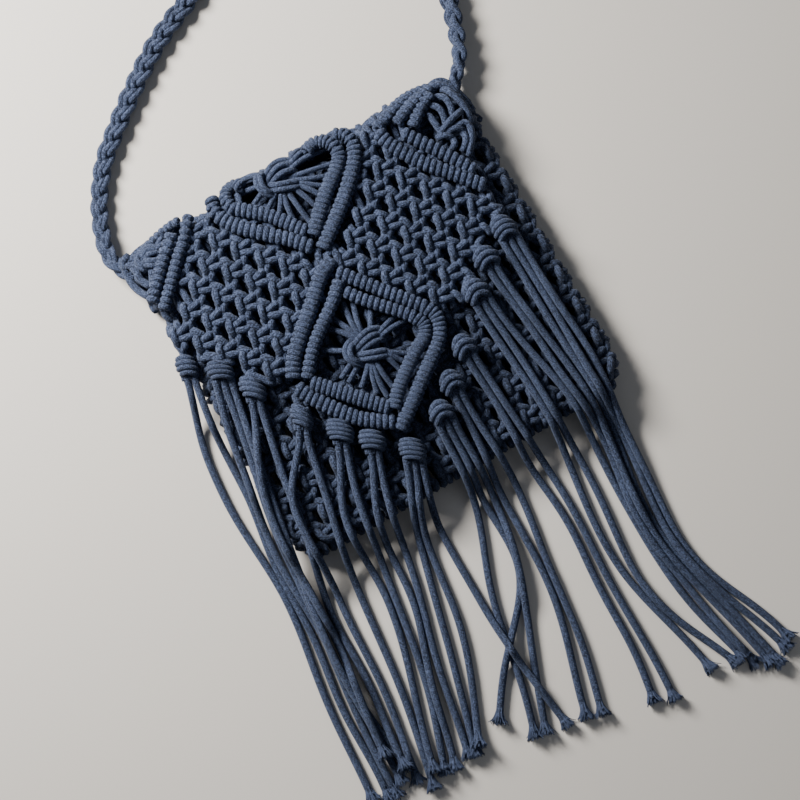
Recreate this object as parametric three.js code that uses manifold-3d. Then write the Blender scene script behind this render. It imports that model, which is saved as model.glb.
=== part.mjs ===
// Knotted cotton crossbody bag with a fringed flap, lying on its back.
// X runs across the bag, Y towards the strap, Z up from the surface. Millimetres.
import * as THREE from 'three';
import Module from 'manifold-3d';
import { LoftGeometry } from 'three/addons/geometries/LoftGeometry.js';
import { mergeGeometries, mergeVertices } from 'three/addons/utils/BufferGeometryUtils.js';

const wasm = await Module();
wasm.setup();

// Pouch: a flat sack of knotted cord
const POUCH_HALF_WIDTH = 118;
const POUCH_CENTRE_X = 2;
const POUCH_FOOT_Y = -111;
const POUCH_MOUTH_Y = 90;
const POUCH_CORNER = 22;
const POUCH_EDGE = 17;
const POUCH_CROWN = 12;
const POUCH_CREST_Y = 40;
const POUCH_FOOT_ROUND = 8;
const POUCH_WALL = 7;
const POUCH_SIDES = 28;

// Gap that soft pieces keep where they press on each other
const PRESS_GAP = 0.4;

// Flap: one knotted sheet folded over the mouth and lying a little askew on the front
const FLAP_THICKNESS = 4;
const FLAP_LIFT = 1.2;
const FLAP_SPLIT = 0.4;
const FLAP_DROOP = 2;
const FLAP_DROOP_WIDTH = 14;
const FLAP_LEFT_X = -116.5;
const FLAP_TURN = THREE.MathUtils.degToRad(-6.5);
const FLAP_PIVOT = { x: 0, y: 107 };
const FOLD_STEPS = 8;
const FOLD_BULGE = 8.5;
const FOLD_END_MIN = 0.5;

// Wound bars: half hitches around a holding cord, flat below and round above
const BAR_WIDTH = 9.4;
const BAR_HEIGHT = 5.2;
const BAR_SEAT = 0.9;
const BAR_TRIM = 6.2;
const BAR_STEP = 11;
const BAR_SPACING = 10.4;
const WINDOW_INSET = 5.6;
const WINDOW_LIMIT_X = 107;
const WINDOW_LIMIT_Y = 105;
const WINDOW_FLOOR_Z = 14;

// Cords of the fringe
const CORD_DIAMETER = 4.2;
const CORD_PITCH = 4.8;
const CORD_FALL = 0.85;
const CORD_SIDES = 5;
const CORD_STATIONS = 9;
const CORD_CLEARANCE = 5;
const CORD_SAMPLES = 40;

// Gathering knots
const KNOT_RADIUS = 7.4;
const KNOT_LENGTH = 15;
const KNOT_SIDES = 8;
const KNOT_REST = 0.8;

// Flower knots: a large square knot with cords spread to the bars around it
const FLOWER_RADIUS = 11;
const FLOWER_HEIGHT = 7;
const FLOWER_LIFT = 1;
const SPOKE_RADIUS = 2;
const SPOKE_GAP = 0.6;

// Strap: a flat braid that turns onto its edge at the right corner
const STRAP_WIDTH = 13;
const STRAP_THICKNESS = 9;
const STRAP_SIDES = 8;
const STRAP_STATIONS = 40;
const STRAP_TURN_FROM = 0.86;

// Diamonds drawn by the bars, in the flap's own frame: u across, v up from the fold
const DIAMONDS = {
  centre: { u: 0, v: -122, halfWidth: 46.5, halfHeight: 51 },
  middle: { u: 0, v: -2, halfWidth: 51, halfHeight: 65 },
  left: { u: -112, v: -6, halfWidth: 51, halfHeight: 57 },
  right: { u: 110, v: -5, halfWidth: 51, halfHeight: 59 },
};

// Sides of the diamonds that show: a side runs from one corner of its diamond to the next
const BARS = [
  { name: 'centre_upper_left', diamond: 'centre', from: 'left', to: 'top', rows: 2 },
  { name: 'centre_upper_right', diamond: 'centre', from: 'top', to: 'right', rows: 2 },
  { name: 'centre_lower_right', diamond: 'centre', from: 'right', to: 'bottom', rows: 2 },
  { name: 'centre_lower_left', diamond: 'centre', from: 'bottom', to: 'left', rows: 2 },
  { name: 'middle_lower_left', diamond: 'middle', from: 'bottom', to: 'left', rows: 2 },
  { name: 'middle_lower_right', diamond: 'middle', from: 'right', to: 'bottom', rows: 2 },
  { name: 'left_lower', diamond: 'left', from: 'right', to: 'bottom', rows: 2 },
  { name: 'right_lower', diamond: 'right', from: 'bottom', to: 'left', rows: 2 },
];

// Bars that turn over the fold above the outer diamonds
const FOLD_BARS = [
  { name: 'left_fold', fromU: -92, fromV: -15, toU: -106, toV: -17 },
  { name: 'right_fold', fromU: 66, fromV: 3, toU: 103, toV: 8 },
];

// Edge of the flap below its side edges, in the flap's own frame, from the side to the point
const FLAP_EDGE = [
  { u: 97, v: -78 },
  { u: 79, v: -93 },
  { u: 58, v: -125 },
  { u: 43, v: -143 },
  { u: 25, v: -161 },
  { u: 0, v: -178 },
];
const FLAP_LEFT_END_Y = 44;
const FLAP_RIGHT_TOP_X = 118.5;
const FLAP_RIGHT_LOW = { x: 104, y: 24 };

// Gathering knots, in the flap's own frame
const KNOTS = [
  { u: -106, v: -89 },
  { u: -88, v: -101 },
  { u: -74, v: -119 },
  { u: -53.5, v: -147 },
  { u: -35.5, v: -164 },
  { u: -20, v: -177 },
  { u: 0, v: -192 },
  { u: 25, v: -178 },
  { u: 38, v: -164 },
  { u: 53.5, v: -147 },
  { u: 74, v: -119 },
  { u: 88, v: -102 },
  { u: 106, v: -89 },
];

// Fringe cords in the order in which they lie down: over the pouch's edge, half way, loose end
const CORDS = [
  { knot: 1, overX: -133, overY: -19, midX: -135, midY: -122, endX: -148, endY: -247 },
  { knot: 1, overX: -121, overY: -21, midX: -130, midY: -126, endX: -139, endY: -252 },
  { knot: 2, overX: -114, overY: -22, midX: -126, midY: -118, endX: -122, endY: -242 },
  { knot: 2, overX: -108, overY: -31, midX: -123, midY: -127, endX: -133, endY: -253 },
  { knot: 2, overX: -103, overY: -30, midX: -120, midY: -120, endX: -128, endY: -247 },
  { knot: 3, overX: -113, overY: -61, midX: -118, midY: -132, endX: -126, endY: -228 },
  { knot: 3, overX: -97, overY: -60, midX: -112, midY: -140, endX: -119, endY: -240 },
  { knot: 4, overX: -101, overY: -76, midX: -104, midY: -137, endX: -116, endY: -252 },
  { knot: 4, overX: -85, overY: -99, midX: -96, midY: -173, endX: -110, endY: -260 },
  { knot: 5, overX: -76, overY: -97, midX: -81, midY: -155, endX: -104, endY: -251 },
  { knot: 5, overX: -67, overY: -99, midX: -77, midY: -174, endX: -99, endY: -256 },
  { knot: 6, overX: -58, overY: -104, midX: -70, midY: -172, endX: -94, endY: -256 },
  { knot: 6, overX: -52, overY: -114, midX: -68, midY: -188, endX: -84, endY: -254 },
  { knot: 7, overX: -44, overY: -126, midX: -62, midY: -203, endX: -79, endY: -255 },
  { knot: 7, overX: -37, overY: -123, midX: -49, midY: -187, endX: -73, endY: -252 },
  { knot: 8, overX: -3, overY: -121, midX: -21, midY: -181, endX: -42, endY: -264 },
  { knot: 8, overX: 3, overY: -120, midX: -2, midY: -178, endX: -55, endY: -246 },
  { knot: 8, overX: 9, overY: -128, midX: -10, midY: -205, endX: -35, endY: -265 },
  { knot: 7, overX: -31, overY: -132, midX: -31, midY: -182, endX: -24, endY: -268 },
  { knot: 9, overX: 15, overY: -118, midX: 10, midY: -192, endX: -8, endY: -270 },
  { knot: 9, overX: 23, overY: -124, midX: 17, midY: -190, endX: 1, endY: -273 },
  { knot: 10, overX: 38, overY: -118, midX: 38, midY: -209, endX: 31, endY: -282 },
  { knot: 10, overX: 45, overY: -124, midX: 45, midY: -214, endX: 41, endY: -287 },
  { knot: 11, overX: 60, overY: -123, midX: 54, midY: -214, endX: 69, endY: -283 },
  { knot: 11, overX: 67, overY: -128, midX: 61, midY: -224, endX: 83, endY: -288 },
  { knot: 11, overX: 79.5, overY: -127, midX: 75.5, midY: -210, endX: 89, endY: -287 },
  { knot: 12, overX: 84, overY: -126, midX: 79, midY: -212, endX: 95, endY: -294 },
  { knot: 13, overX: 93, overY: -122, midX: 87, midY: -210, endX: 109, endY: -301 },
  { knot: 12, overX: 88.5, overY: -124, midX: 83, midY: -211, endX: 103, endY: -298 },
  { knot: 13, overX: 97.5, overY: -121, midX: 91, midY: -210, endX: 114, endY: -296 },
  { knot: 13, overX: 102, overY: -120, midX: 95, midY: -211, endX: 119, endY: -291 },
];

// Flower knots and the directions of their spread cords, in degrees of the flap's frame
const FLOWERS = [
  { name: 'flower_centre', diamond: 'centre', u: 0, v: -121, spokes: 12, first: 15, last: 345 },
  { name: 'flower_middle', diamond: 'middle', u: -11, v: -15, spokes: 7, first: 192, last: 348 },
  { name: 'flower_left', diamond: 'left', u: -99, v: -24, spokes: 4, first: 270, last: 350 },
  { name: 'flower_right', diamond: 'right', u: 96, v: -20, spokes: 3, first: 178, last: 240 },
];

// Strap from the left corner, out beyond the bag and back to the right corner
const STRAP_ROUTE = [
  { x: -119.5, y: 103, z: 12 },
  { x: -124, y: 116, z: 9.5 },
  { x: -122, y: 130, z: 7 },
  { x: -114, y: 150, z: 5 },
  { x: -99, y: 172, z: 5 },
  { x: -79, y: 190, z: 5 },
  { x: -56, y: 208, z: 5 },
  { x: -31, y: 225, z: 5 },
  { x: 0, y: 240, z: 5 },
  { x: 44, y: 263, z: 5 },
  { x: 74, y: 298, z: 5 },
  { x: 72, y: 345, z: 5 },
  { x: 42, y: 392, z: 5 },
  { x: 20, y: 440, z: 5 },
  { x: 34, y: 490, z: 5 },
  { x: 82, y: 514, z: 5 },
  { x: 134, y: 494, z: 5 },
  { x: 163, y: 440, z: 5 },
  { x: 171, y: 360, z: 5 },
  { x: 168, y: 280, z: 5 },
  { x: 158, y: 212, z: 5 },
  { x: 146, y: 163, z: 6.8 },
  { x: 138, y: 138, z: 7.5 },
  { x: 130, y: 119, z: 9 },
  { x: 122, y: 103, z: 11 },
];

const COTTON = { roughness: 0.9, metalness: 0 };
const materials = {
  net: new THREE.MeshStandardMaterial({ color: 0x3b4a68, ...COTTON }),
  bars: new THREE.MeshStandardMaterial({ color: 0x4a5b7c, ...COTTON }),
  fringe: new THREE.MeshStandardMaterial({ color: 0x42526f, ...COTTON }),
  braid: new THREE.MeshStandardMaterial({ color: 0x46587a, ...COTTON }),
};

// Solids

function solidOf(geometry) {
  const plain = new THREE.BufferGeometry().copy(geometry);
  plain.deleteAttribute('normal');
  plain.deleteAttribute('uv');
  const merged = mergeVertices(plain, 1e-4);
  const vertProperties = new Float32Array(merged.attributes.position.array);
  const triVerts = new Uint32Array(merged.index.array);
  return new wasm.Manifold(new wasm.Mesh({ numProp: 3, vertProperties, triVerts }));
}

function geometryOf(solid) {
  const mesh = solid.getMesh();
  const geometry = new THREE.BufferGeometry();
  geometry.setAttribute('position', new THREE.BufferAttribute(new Float32Array(mesh.vertProperties), 3));
  geometry.setIndex(new THREE.BufferAttribute(new Uint32Array(mesh.triVerts), 1));
  geometry.computeVertexNormals();
  return geometry;
}

// A closed loft with one ring of points at each station
function loft(rings) {
  return new LoftGeometry(rings, { capStart: true, capEnd: true });
}

// Ring of a tube: side and up are unit vectors whose cross product points along the tube
function tubeRing(centre, side, up, halfWidth, halfHeight, sides) {
  return Array.from({ length: sides }, (_, i) => {
    const angle = (2 * Math.PI * i) / sides;
    return centre.clone()
      .addScaledVector(side, halfWidth * Math.cos(angle))
      .addScaledVector(up, halfHeight * Math.sin(angle));
  });
}

// Pouch form

function pouchStation(y) {
  const cornerReach = Math.min(1, Math.max(0, (POUCH_FOOT_Y + POUCH_CORNER - y) / POUCH_CORNER));
  const footReach = Math.min(0.94, Math.max(0, (POUCH_FOOT_Y + POUCH_FOOT_ROUND - y) / POUCH_FOOT_ROUND));
  const crestReach = Math.max(0, (POUCH_CREST_Y - y) / (POUCH_CREST_Y - POUCH_FOOT_Y));
  return {
    halfWidth: POUCH_HALF_WIDTH - POUCH_CORNER * (1 - Math.sqrt(1 - 0.96 * cornerReach ** 2)),
    halfEdge: (POUCH_EDGE / 2) * Math.sqrt(1 - footReach ** 2),
    crown: POUCH_CROWN * (1 - crestReach ** 2),
  };
}

// Roundness of the side: 0 at the outermost point, 1 once inside the rolled edge
function rolledEdge(distance, radius) {
  const reach = Math.min(1, Math.max(0, distance / radius));
  return Math.sqrt(1 - (1 - reach) ** 2);
}

function crownShape(share) {
  return Math.max(0, 1 - share * share) ** 1.2;
}

// Height of the pouch's upper face, or 0 beside the pouch
function pouchTop(x, y) {
  if (y < POUCH_FOOT_Y) {
    return 0;
  }
  const station = pouchStation(Math.min(y, POUCH_MOUTH_Y));
  const offset = Math.abs(x - POUCH_CENTRE_X);
  if (offset >= station.halfWidth) {
    return 0;
  }
  const rise = station.halfEdge * rolledEdge(station.halfWidth - offset, station.halfEdge);
  return POUCH_EDGE / 2 + rise + station.crown * crownShape(offset / station.halfWidth);
}

// Cross-section of the pouch, or of its hollow when inset by the wall
function pouchRing(y, inset) {
  const station = pouchStation(y);
  const halfWidth = station.halfWidth - 1.2 * inset;
  const halfEdge = Math.max(0.8, station.halfEdge - inset);
  return Array.from({ length: POUCH_SIDES }, (_, i) => {
    const angle = (2 * Math.PI * i) / POUCH_SIDES;
    const offset = -halfWidth * Math.cos(angle);
    const rise = halfEdge * rolledEdge(halfWidth - Math.abs(offset), halfEdge);
    const crown = station.crown * crownShape(offset / halfWidth);
    const upper = Math.sin(angle) >= 0;
    const z = POUCH_EDGE / 2 + (upper ? rise + crown : -rise);
    return new THREE.Vector3(POUCH_CENTRE_X + offset, y, z);
  });
}

// Outside of the pouch, or the room that it keeps when grown by a gap
function pouchOutside(grow) {
  const stations = [0, 1.5, 4, 8, 14, 22, 40, 65, 95, 125, 151, POUCH_MOUTH_Y - POUCH_FOOT_Y];
  return solidOf(loft(stations.map((rise) => pouchRing(POUCH_FOOT_Y + rise, -grow))));
}

function makePouch() {
  const stations = [10, 14, 22, 40, 65, 95, 125, 151, POUCH_MOUTH_Y - POUCH_FOOT_Y + 5];
  const hollow = solidOf(loft(stations.map((rise) => pouchRing(POUCH_FOOT_Y + rise, POUCH_WALL))));
  return pouchOutside(0).subtract(hollow);
}

// Flap form

// Height on which the sheet rests: the pouch's front, drooping a little at its sides
function flapRest(x, y) {
  const station = pouchStation(Math.min(y, POUCH_MOUTH_Y));
  const offset = Math.abs(x - POUCH_CENTRE_X);
  const overhang = Math.max(0, (offset - POUCH_HALF_WIDTH) / FLAP_DROOP_WIDTH + 1);
  return POUCH_EDGE + station.crown * crownShape(offset / station.halfWidth) - FLAP_DROOP * overhang ** 2;
}

function foldRadius(x) {
  return (flapRest(x, POUCH_MOUTH_Y) + FLAP_LIFT) / 2;
}

// Where the sheet starts to turn over: further past the mouth in the middle than at the corners
function foldStart(x) {
  const share = Math.abs(x - POUCH_CENTRE_X) / POUCH_HALF_WIDTH;
  return POUCH_MOUTH_Y + Math.max(FOLD_END_MIN, FOLD_BULGE * (1 - share ** 6));
}

// Middle of the flap's sheet at x, and its upward normal in the Y-Z plane.
// reach is y on the front, and arc length past the start of the turn on the fold and the back.
function flapMiddle(x, reach) {
  const radius = foldRadius(x);
  const foldZ = FLAP_THICKNESS / 2 + radius;
  const start = foldStart(x);
  const back = reach - start - Math.PI * radius;
  if (back > 0) {
    return { y: start + FLAP_SPLIT - back, z: FLAP_THICKNESS / 2, normalY: 0, normalZ: -1 };
  }
  if (reach > start) {
    const angle = (reach - start) / radius;
    return {
      y: start + FLAP_SPLIT + radius * Math.sin(angle),
      z: foldZ + radius * Math.cos(angle),
      normalY: Math.sin(angle),
      normalZ: Math.cos(angle),
    };
  }
  const z = flapRest(x, reach) + FLAP_LIFT + FLAP_THICKNESS / 2;
  return { y: reach, z, normalY: 0, normalZ: 1 };
}

// Point of the bag at (u, v) in the flap's own frame, lift above the middle of the sheet
function flapPoint(u, v, lift) {
  const x = FLAP_PIVOT.x + u * Math.cos(FLAP_TURN) - v * Math.sin(FLAP_TURN);
  const reach = FLAP_PIVOT.y + u * Math.sin(FLAP_TURN) + v * Math.cos(FLAP_TURN);
  const middle = flapMiddle(x, reach);
  return new THREE.Vector3(x, middle.y + lift * middle.normalY, middle.z + lift * middle.normalZ);
}

function flapSection(x, frontEnd, grow) {
  const turn = Math.PI * foldRadius(x);
  const start = foldStart(x);
  const front = Array.from({ length: 10 }, (_, i) => frontEnd + ((start - frontEnd) * i) / 10);
  const fold = Array.from({ length: FOLD_STEPS + 1 }, (_, i) => start + (turn * i) / FOLD_STEPS);
  const backEnd = start + turn + start - POUCH_MOUTH_Y;
  const line = [...front, ...fold, backEnd].map((reach) => flapMiddle(x, reach));
  const shifted = (lift) => line.map((m) => new THREE.Vector3(x, m.y + lift * m.normalY, m.z + lift * m.normalZ));
  const half = FLAP_THICKNESS / 2 + grow;
  return { inner: shifted(-half), outer: shifted(half) };
}

// A sheet between inner and outer lines, closed by a narrow strip at each end
function sheetGeometry(sections) {
  const first = sections[0];
  const last = sections[sections.length - 1];
  return mergeGeometries([
    new LoftGeometry(sections.map((s) => [...s.inner, ...s.outer.slice().reverse()])),
    new LoftGeometry([first.outer, first.inner], { closed: false }),
    new LoftGeometry([last.inner, last.outer], { closed: false }),
  ]);
}

// Upright prism over an outline, used to trim the flap
function prism(points, bottom, top) {
  const shape = new THREE.Shape(points.map((p) => new THREE.Vector2(p.x, p.y)));
  const geometry = new THREE.ExtrudeGeometry(shape, { depth: top - bottom, bevelEnabled: false });
  return geometry.translate(0, 0, bottom);
}

function flapPlan(u, v) {
  return {
    x: FLAP_PIVOT.x + u * Math.cos(FLAP_TURN) - v * Math.sin(FLAP_TURN),
    y: FLAP_PIVOT.y + u * Math.sin(FLAP_TURN) + v * Math.cos(FLAP_TURN),
  };
}

// Corners of a diamond whose sides lie inward of the outer bars by the given distance
function diamondCorners(diamond, inward) {
  const { u, v, halfWidth, halfHeight } = diamond;
  const reach = (halfWidth * halfHeight) / Math.hypot(halfWidth, halfHeight);
  const share = 1 - inward / reach;
  return {
    top: { u, v: v + halfHeight * share },
    right: { u: u + halfWidth * share, v },
    bottom: { u, v: v - halfHeight * share },
    left: { u: u - halfWidth * share, v },
  };
}

// The flap, or the room that it keeps when grown by a gap
function flapSolid(grow) {
  const frontEnd = FLAP_PIVOT.y - 190;
  const stations = Array.from({ length: 19 }, (_, i) => -117 + (234 * i) / 18);
  const sheet = solidOf(sheetGeometry(stations.map((x) => flapSection(x, frontEnd, grow))));
  const rightEdge = FLAP_EDGE.map((p) => flapPlan(p.u, p.v));
  const leftEdge = FLAP_EDGE.slice(0, -1).reverse().map((p) => flapPlan(-p.u, p.v));
  const outline = [
    { x: FLAP_LEFT_X, y: 140 },
    { x: FLAP_LEFT_X, y: FLAP_LEFT_END_Y },
    ...leftEdge.reverse(),
    ...rightEdge.reverse(),
    FLAP_RIGHT_LOW,
    { x: FLAP_RIGHT_TOP_X, y: 90 },
    { x: FLAP_RIGHT_TOP_X, y: 140 },
  ];
  let flap = sheet.intersect(solidOf(prism(outline, -5, 60)));
  const rimmed = solidOf(new THREE.BoxGeometry(2 * WINDOW_LIMIT_X, 400, 200).translate(0, WINDOW_LIMIT_Y - 200, 0));
  for (const diamond of Object.values(DIAMONDS)) {
    const corners = Object.values(diamondCorners(diamond, BAR_SPACING + WINDOW_INSET + grow));
    const window = solidOf(prism(corners.map((c) => flapPlan(c.u, c.v)).reverse(), WINDOW_FLOOR_Z, 60));
    flap = flap.subtract(window.intersect(rimmed));
  }
  return flap;
}

// Bars

// A bar between two points of the flap, or the room that it keeps when grown by a gap
function barSolid(fromU, fromV, toU, toV, grow) {
  const seat = FLAP_THICKNESS / 2 + BAR_SEAT - grow;
  const steps = Math.max(4, Math.round(Math.hypot(toU - fromU, toV - fromV) / BAR_STEP));
  const centres = Array.from({ length: steps + 1 }, (_, i) => {
    const share = i / steps;
    const u = fromU + (toU - fromU) * share;
    const v = fromV + (toV - fromV) * share;
    const low = flapPoint(u, v, seat);
    return { low, up: flapPoint(u, v, seat + 1).sub(low).normalize() };
  });
  const profile = [
    { s: -0.42, c: 0 },
    { s: 0.42, c: 0 },
    { s: 0.5, c: 0.45 },
    { s: 0.3, c: 0.9 },
    { s: 0, c: 1 },
    { s: -0.3, c: 0.9 },
    { s: -0.5, c: 0.45 },
  ];
  const rings = centres.map((station, i) => {
    const before = centres[Math.max(0, i - 1)].low;
    const after = centres[Math.min(steps, i + 1)].low;
    const along = after.clone().sub(before).normalize();
    const side = station.up.clone().cross(along).normalize();
    return profile.map((p) => station.low.clone()
      .addScaledVector(side, p.s * (BAR_WIDTH + 2 * grow))
      .addScaledVector(station.up, p.c * (BAR_HEIGHT + 2 * grow)));
  });
  return solidOf(loft(rings));
}

// Every bar with its ends trimmed clear of the next one
function barLines() {
  const lines = FOLD_BARS.map((bar) => ({ ...bar, name: `bar_${bar.name}` }));
  for (const bar of BARS) {
    for (let row = 0; row < bar.rows; row++) {
      const corners = diamondCorners(DIAMONDS[bar.diamond], row * BAR_SPACING);
      const from = corners[bar.from];
      const to = corners[bar.to];
      const share = BAR_TRIM / Math.hypot(to.u - from.u, to.v - from.v);
      lines.push({
        name: `bar_${bar.name}_${row === 0 ? 'outer' : 'inner'}`,
        fromU: from.u + (to.u - from.u) * share,
        fromV: from.v + (to.v - from.v) * share,
        toU: to.u - (to.u - from.u) * share,
        toV: to.v - (to.v - from.v) * share,
      });
    }
  }
  return lines;
}

// Gathering knots and fringe

function knotPlace(index) {
  const knot = KNOTS[index - 1];
  const plan = flapPlan(knot.u, knot.v);
  const z = pouchTop(plan.x, plan.y) + KNOT_RADIUS * 0.85 + KNOT_REST;
  return new THREE.Vector3(plan.x, plan.y, z);
}

// Direction in which the knot hangs, in plan: the mean of its cords
function knotHang(index) {
  const place = knotPlace(index);
  const hang = new THREE.Vector3();
  for (const cord of CORDS.filter((c) => c.knot === index)) {
    hang.add(new THREE.Vector3(cord.overX - place.x, cord.overY - place.y, 0).normalize());
  }
  return hang.normalize();
}

// Plan line of a cord through its named points, sampled evenly
function cordPlan(cord, slot, slots) {
  const place = knotPlace(cord.knot);
  const hang = knotHang(cord.knot);
  const side = new THREE.Vector3(-hang.y, hang.x, 0);
  const spread = (slot - (slots - 1) / 2) * CORD_PITCH;
  const start = place.clone().addScaledVector(hang, KNOT_LENGTH * 0.3).addScaledVector(side, spread);
  const leave = place.clone().addScaledVector(hang, KNOT_LENGTH * 0.9).addScaledVector(side, spread);
  const line = new THREE.CatmullRomCurve3([
    start.setZ(0),
    leave.setZ(0),
    new THREE.Vector3(cord.overX, cord.overY, 0),
    new THREE.Vector3(cord.midX, cord.midY, 0),
    new THREE.Vector3(cord.endX, cord.endY, 0),
  ]);
  return line.getSpacedPoints(CORD_SAMPLES - 1);
}

// Height on which a cord rests: it clears the pouch's edge before it falls
function cordRest(x, y) {
  let rest = 0;
  for (const dx of [-CORD_CLEARANCE, 0, CORD_CLEARANCE]) {
    for (const dy of [-CORD_CLEARANCE, 0, CORD_CLEARANCE]) {
      rest = Math.max(rest, pouchTop(x + dx, y + dy));
    }
  }
  return rest;
}

// Lays the cords down one after another: each rests on the pouch, the floor or earlier cords
function layCords() {
  const laid = [];
  const used = new Map();
  for (const cord of CORDS) {
    const slot = used.get(cord.knot) ?? 0;
    used.set(cord.knot, slot + 1);
    const slots = CORDS.filter((c) => c.knot === cord.knot).length;
    const points = cordPlan(cord, slot, slots);
    const support = points.map((p, i) => {
      let rest = cordRest(p.x, p.y) + CORD_DIAMETER / 2 + PRESS_GAP;
      if (i < 3) {
        rest = knotPlace(cord.knot).z - 1.5 * i;
      }
      for (const other of laid) {
        for (const q of other.points) {
          const apart = Math.hypot(p.x - q.x, p.y - q.y);
          const near = apart < CORD_PITCH && i > 4;
          rest = near ? Math.max(rest, q.z + Math.sqrt(CORD_PITCH ** 2 - apart ** 2)) : rest;
        }
      }
      return rest;
    });
    const step = points[0].distanceTo(points[1]);
    const hung = support.map((_, i) => Math.max(...support.map((z, j) => z - CORD_FALL * step * Math.abs(i - j))));
    points.forEach((p, i) => p.setZ(hung[i]));
    laid.push({ knot: cord.knot, points });
  }
  return laid;
}

function cordGeometry(points, radius) {
  const curve = new THREE.CatmullRomCurve3(points);
  const up = new THREE.Vector3(0, 0, 1);
  const rings = Array.from({ length: CORD_STATIONS }, (_, i) => {
    const share = i / (CORD_STATIONS - 1);
    const along = curve.getTangentAt(share);
    const side = up.clone().cross(along).normalize();
    return tubeRing(curve.getPointAt(share), side, along.clone().cross(side), radius, radius, CORD_SIDES);
  });
  return loft(rings);
}

function knotGeometry(index) {
  const profile = [
    { r: 0, h: -0.5 },
    { r: 0.62, h: -0.5 },
    { r: 0.95, h: -0.25 },
    { r: 1, h: 0.05 },
    { r: 0.84, h: 0.4 },
    { r: 0.6, h: 0.5 },
    { r: 0, h: 0.5 },
  ];
  const points = profile.map((p) => new THREE.Vector2(p.r * KNOT_RADIUS, p.h * KNOT_LENGTH));
  const hang = knotHang(index);
  const place = knotPlace(index);
  const geometry = new THREE.LatheGeometry(points, KNOT_SIDES);
  geometry.rotateZ(Math.atan2(-hang.x, hang.y));
  geometry.scale(1, 1, 0.85);
  return geometry.translate(place.x, place.y, place.z);
}

// Tassels in order, each pressed against the pouch, the flap and the cords laid before it
function makeTassels(pressers) {
  const laid = layCords();
  return KNOTS.map((_, i) => {
    let tassel = solidOf(knotGeometry(i + 1));
    for (const cord of laid) {
      const own = cord.knot === i + 1;
      tassel = own ? tassel.add(solidOf(cordGeometry(cord.points, CORD_DIAMETER / 2))) : tassel;
    }
    for (const cord of laid) {
      const earlier = cord.knot < i + 1;
      const room = solidOf(cordGeometry(cord.points, CORD_DIAMETER / 2 + PRESS_GAP));
      tassel = earlier ? tassel.subtract(room) : tassel;
    }
    return pressers.reduce((solid, presser) => solid.subtract(presser), tassel);
  });
}

// Flower knots

function flowerSolid(flower, pressers) {
  const heart = flapPoint(flower.u, flower.v, FLOWER_LIFT);
  const knot = new THREE.SphereGeometry(FLOWER_RADIUS, 12, 6);
  knot.rotateX(Math.PI / 2);
  knot.scale(1, 0.9, FLOWER_HEIGHT / (2 * FLOWER_RADIUS));
  let solid = solidOf(knot.translate(heart.x, heart.y, heart.z));
  const corners = diamondCorners(DIAMONDS[flower.diamond], BAR_SPACING + WINDOW_INSET + SPOKE_GAP + SPOKE_RADIUS);
  const halfWidth = corners.right.u - DIAMONDS[flower.diamond].u;
  const halfHeight = corners.top.v - DIAMONDS[flower.diamond].v;
  for (let i = 0; i < flower.spokes; i++) {
    const angle = THREE.MathUtils.degToRad(flower.first + ((flower.last - flower.first) * i) / (flower.spokes - 1));
    const reach = spokeReach(flower, halfWidth, halfHeight, angle);
    const end = flapPoint(flower.u + reach * Math.cos(angle), flower.v + reach * Math.sin(angle), 0);
    const line = end.clone().sub(heart);
    const spoke = new THREE.CylinderGeometry(SPOKE_RADIUS, SPOKE_RADIUS, line.length(), 5);
    spoke.applyQuaternion(new THREE.Quaternion().setFromUnitVectors(new THREE.Vector3(0, 1, 0), line.clone().normalize()));
    const centre = heart.clone().addScaledVector(line, 0.5);
    solid = solid.add(solidOf(spoke.translate(centre.x, centre.y, centre.z)));
  }
  return pressers.reduce((pressed, presser) => pressed.subtract(presser), solid);
}

// Distance from a flower to the rim of its window along one direction
function spokeReach(flower, halfWidth, halfHeight, angle) {
  const diamond = DIAMONDS[flower.diamond];
  let reach = 0;
  for (let r = 0; r < 60; r += 0.5) {
    const du = Math.abs(flower.u + r * Math.cos(angle) - diamond.u) / halfWidth;
    const dv = Math.abs(flower.v + r * Math.sin(angle) - diamond.v) / halfHeight;
    if (du + dv > 1) {
      break;
    }
    reach = r;
  }
  return reach;
}

// Strap

function strapGeometry() {
  const curve = new THREE.CatmullRomCurve3(STRAP_ROUTE.map((p) => new THREE.Vector3(p.x, p.y, p.z)));
  const up = new THREE.Vector3(0, 0, 1);
  const rings = Array.from({ length: STRAP_STATIONS + 1 }, (_, i) => {
    const share = i / STRAP_STATIONS;
    const along = curve.getTangentAt(share);
    const side = up.clone().cross(along).normalize();
    const above = along.clone().cross(side);
    const turn = THREE.MathUtils.smoothstep(share, STRAP_TURN_FROM, 1) * (Math.PI / 2);
    const wide = side.clone().multiplyScalar(Math.cos(turn)).addScaledVector(above, Math.sin(turn));
    const thin = along.clone().cross(wide);
    return tubeRing(curve.getPointAt(share), wide, thin, STRAP_WIDTH / 2, STRAP_THICKNESS / 2, STRAP_SIDES);
  });
  return loft(rings);
}

// Assembly

const bag = new THREE.Group();

function addPiece(name, geometry, material) {
  const mesh = new THREE.Mesh(geometry, material);
  mesh.name = name;
  bag.add(mesh);
}

const pouchRoom = pouchOutside(PRESS_GAP);
const flapRoom = flapSolid(PRESS_GAP);
const bars = barLines();
const barRooms = bars.map((bar) => barSolid(bar.fromU, bar.fromV, bar.toU, bar.toV, PRESS_GAP));

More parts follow.
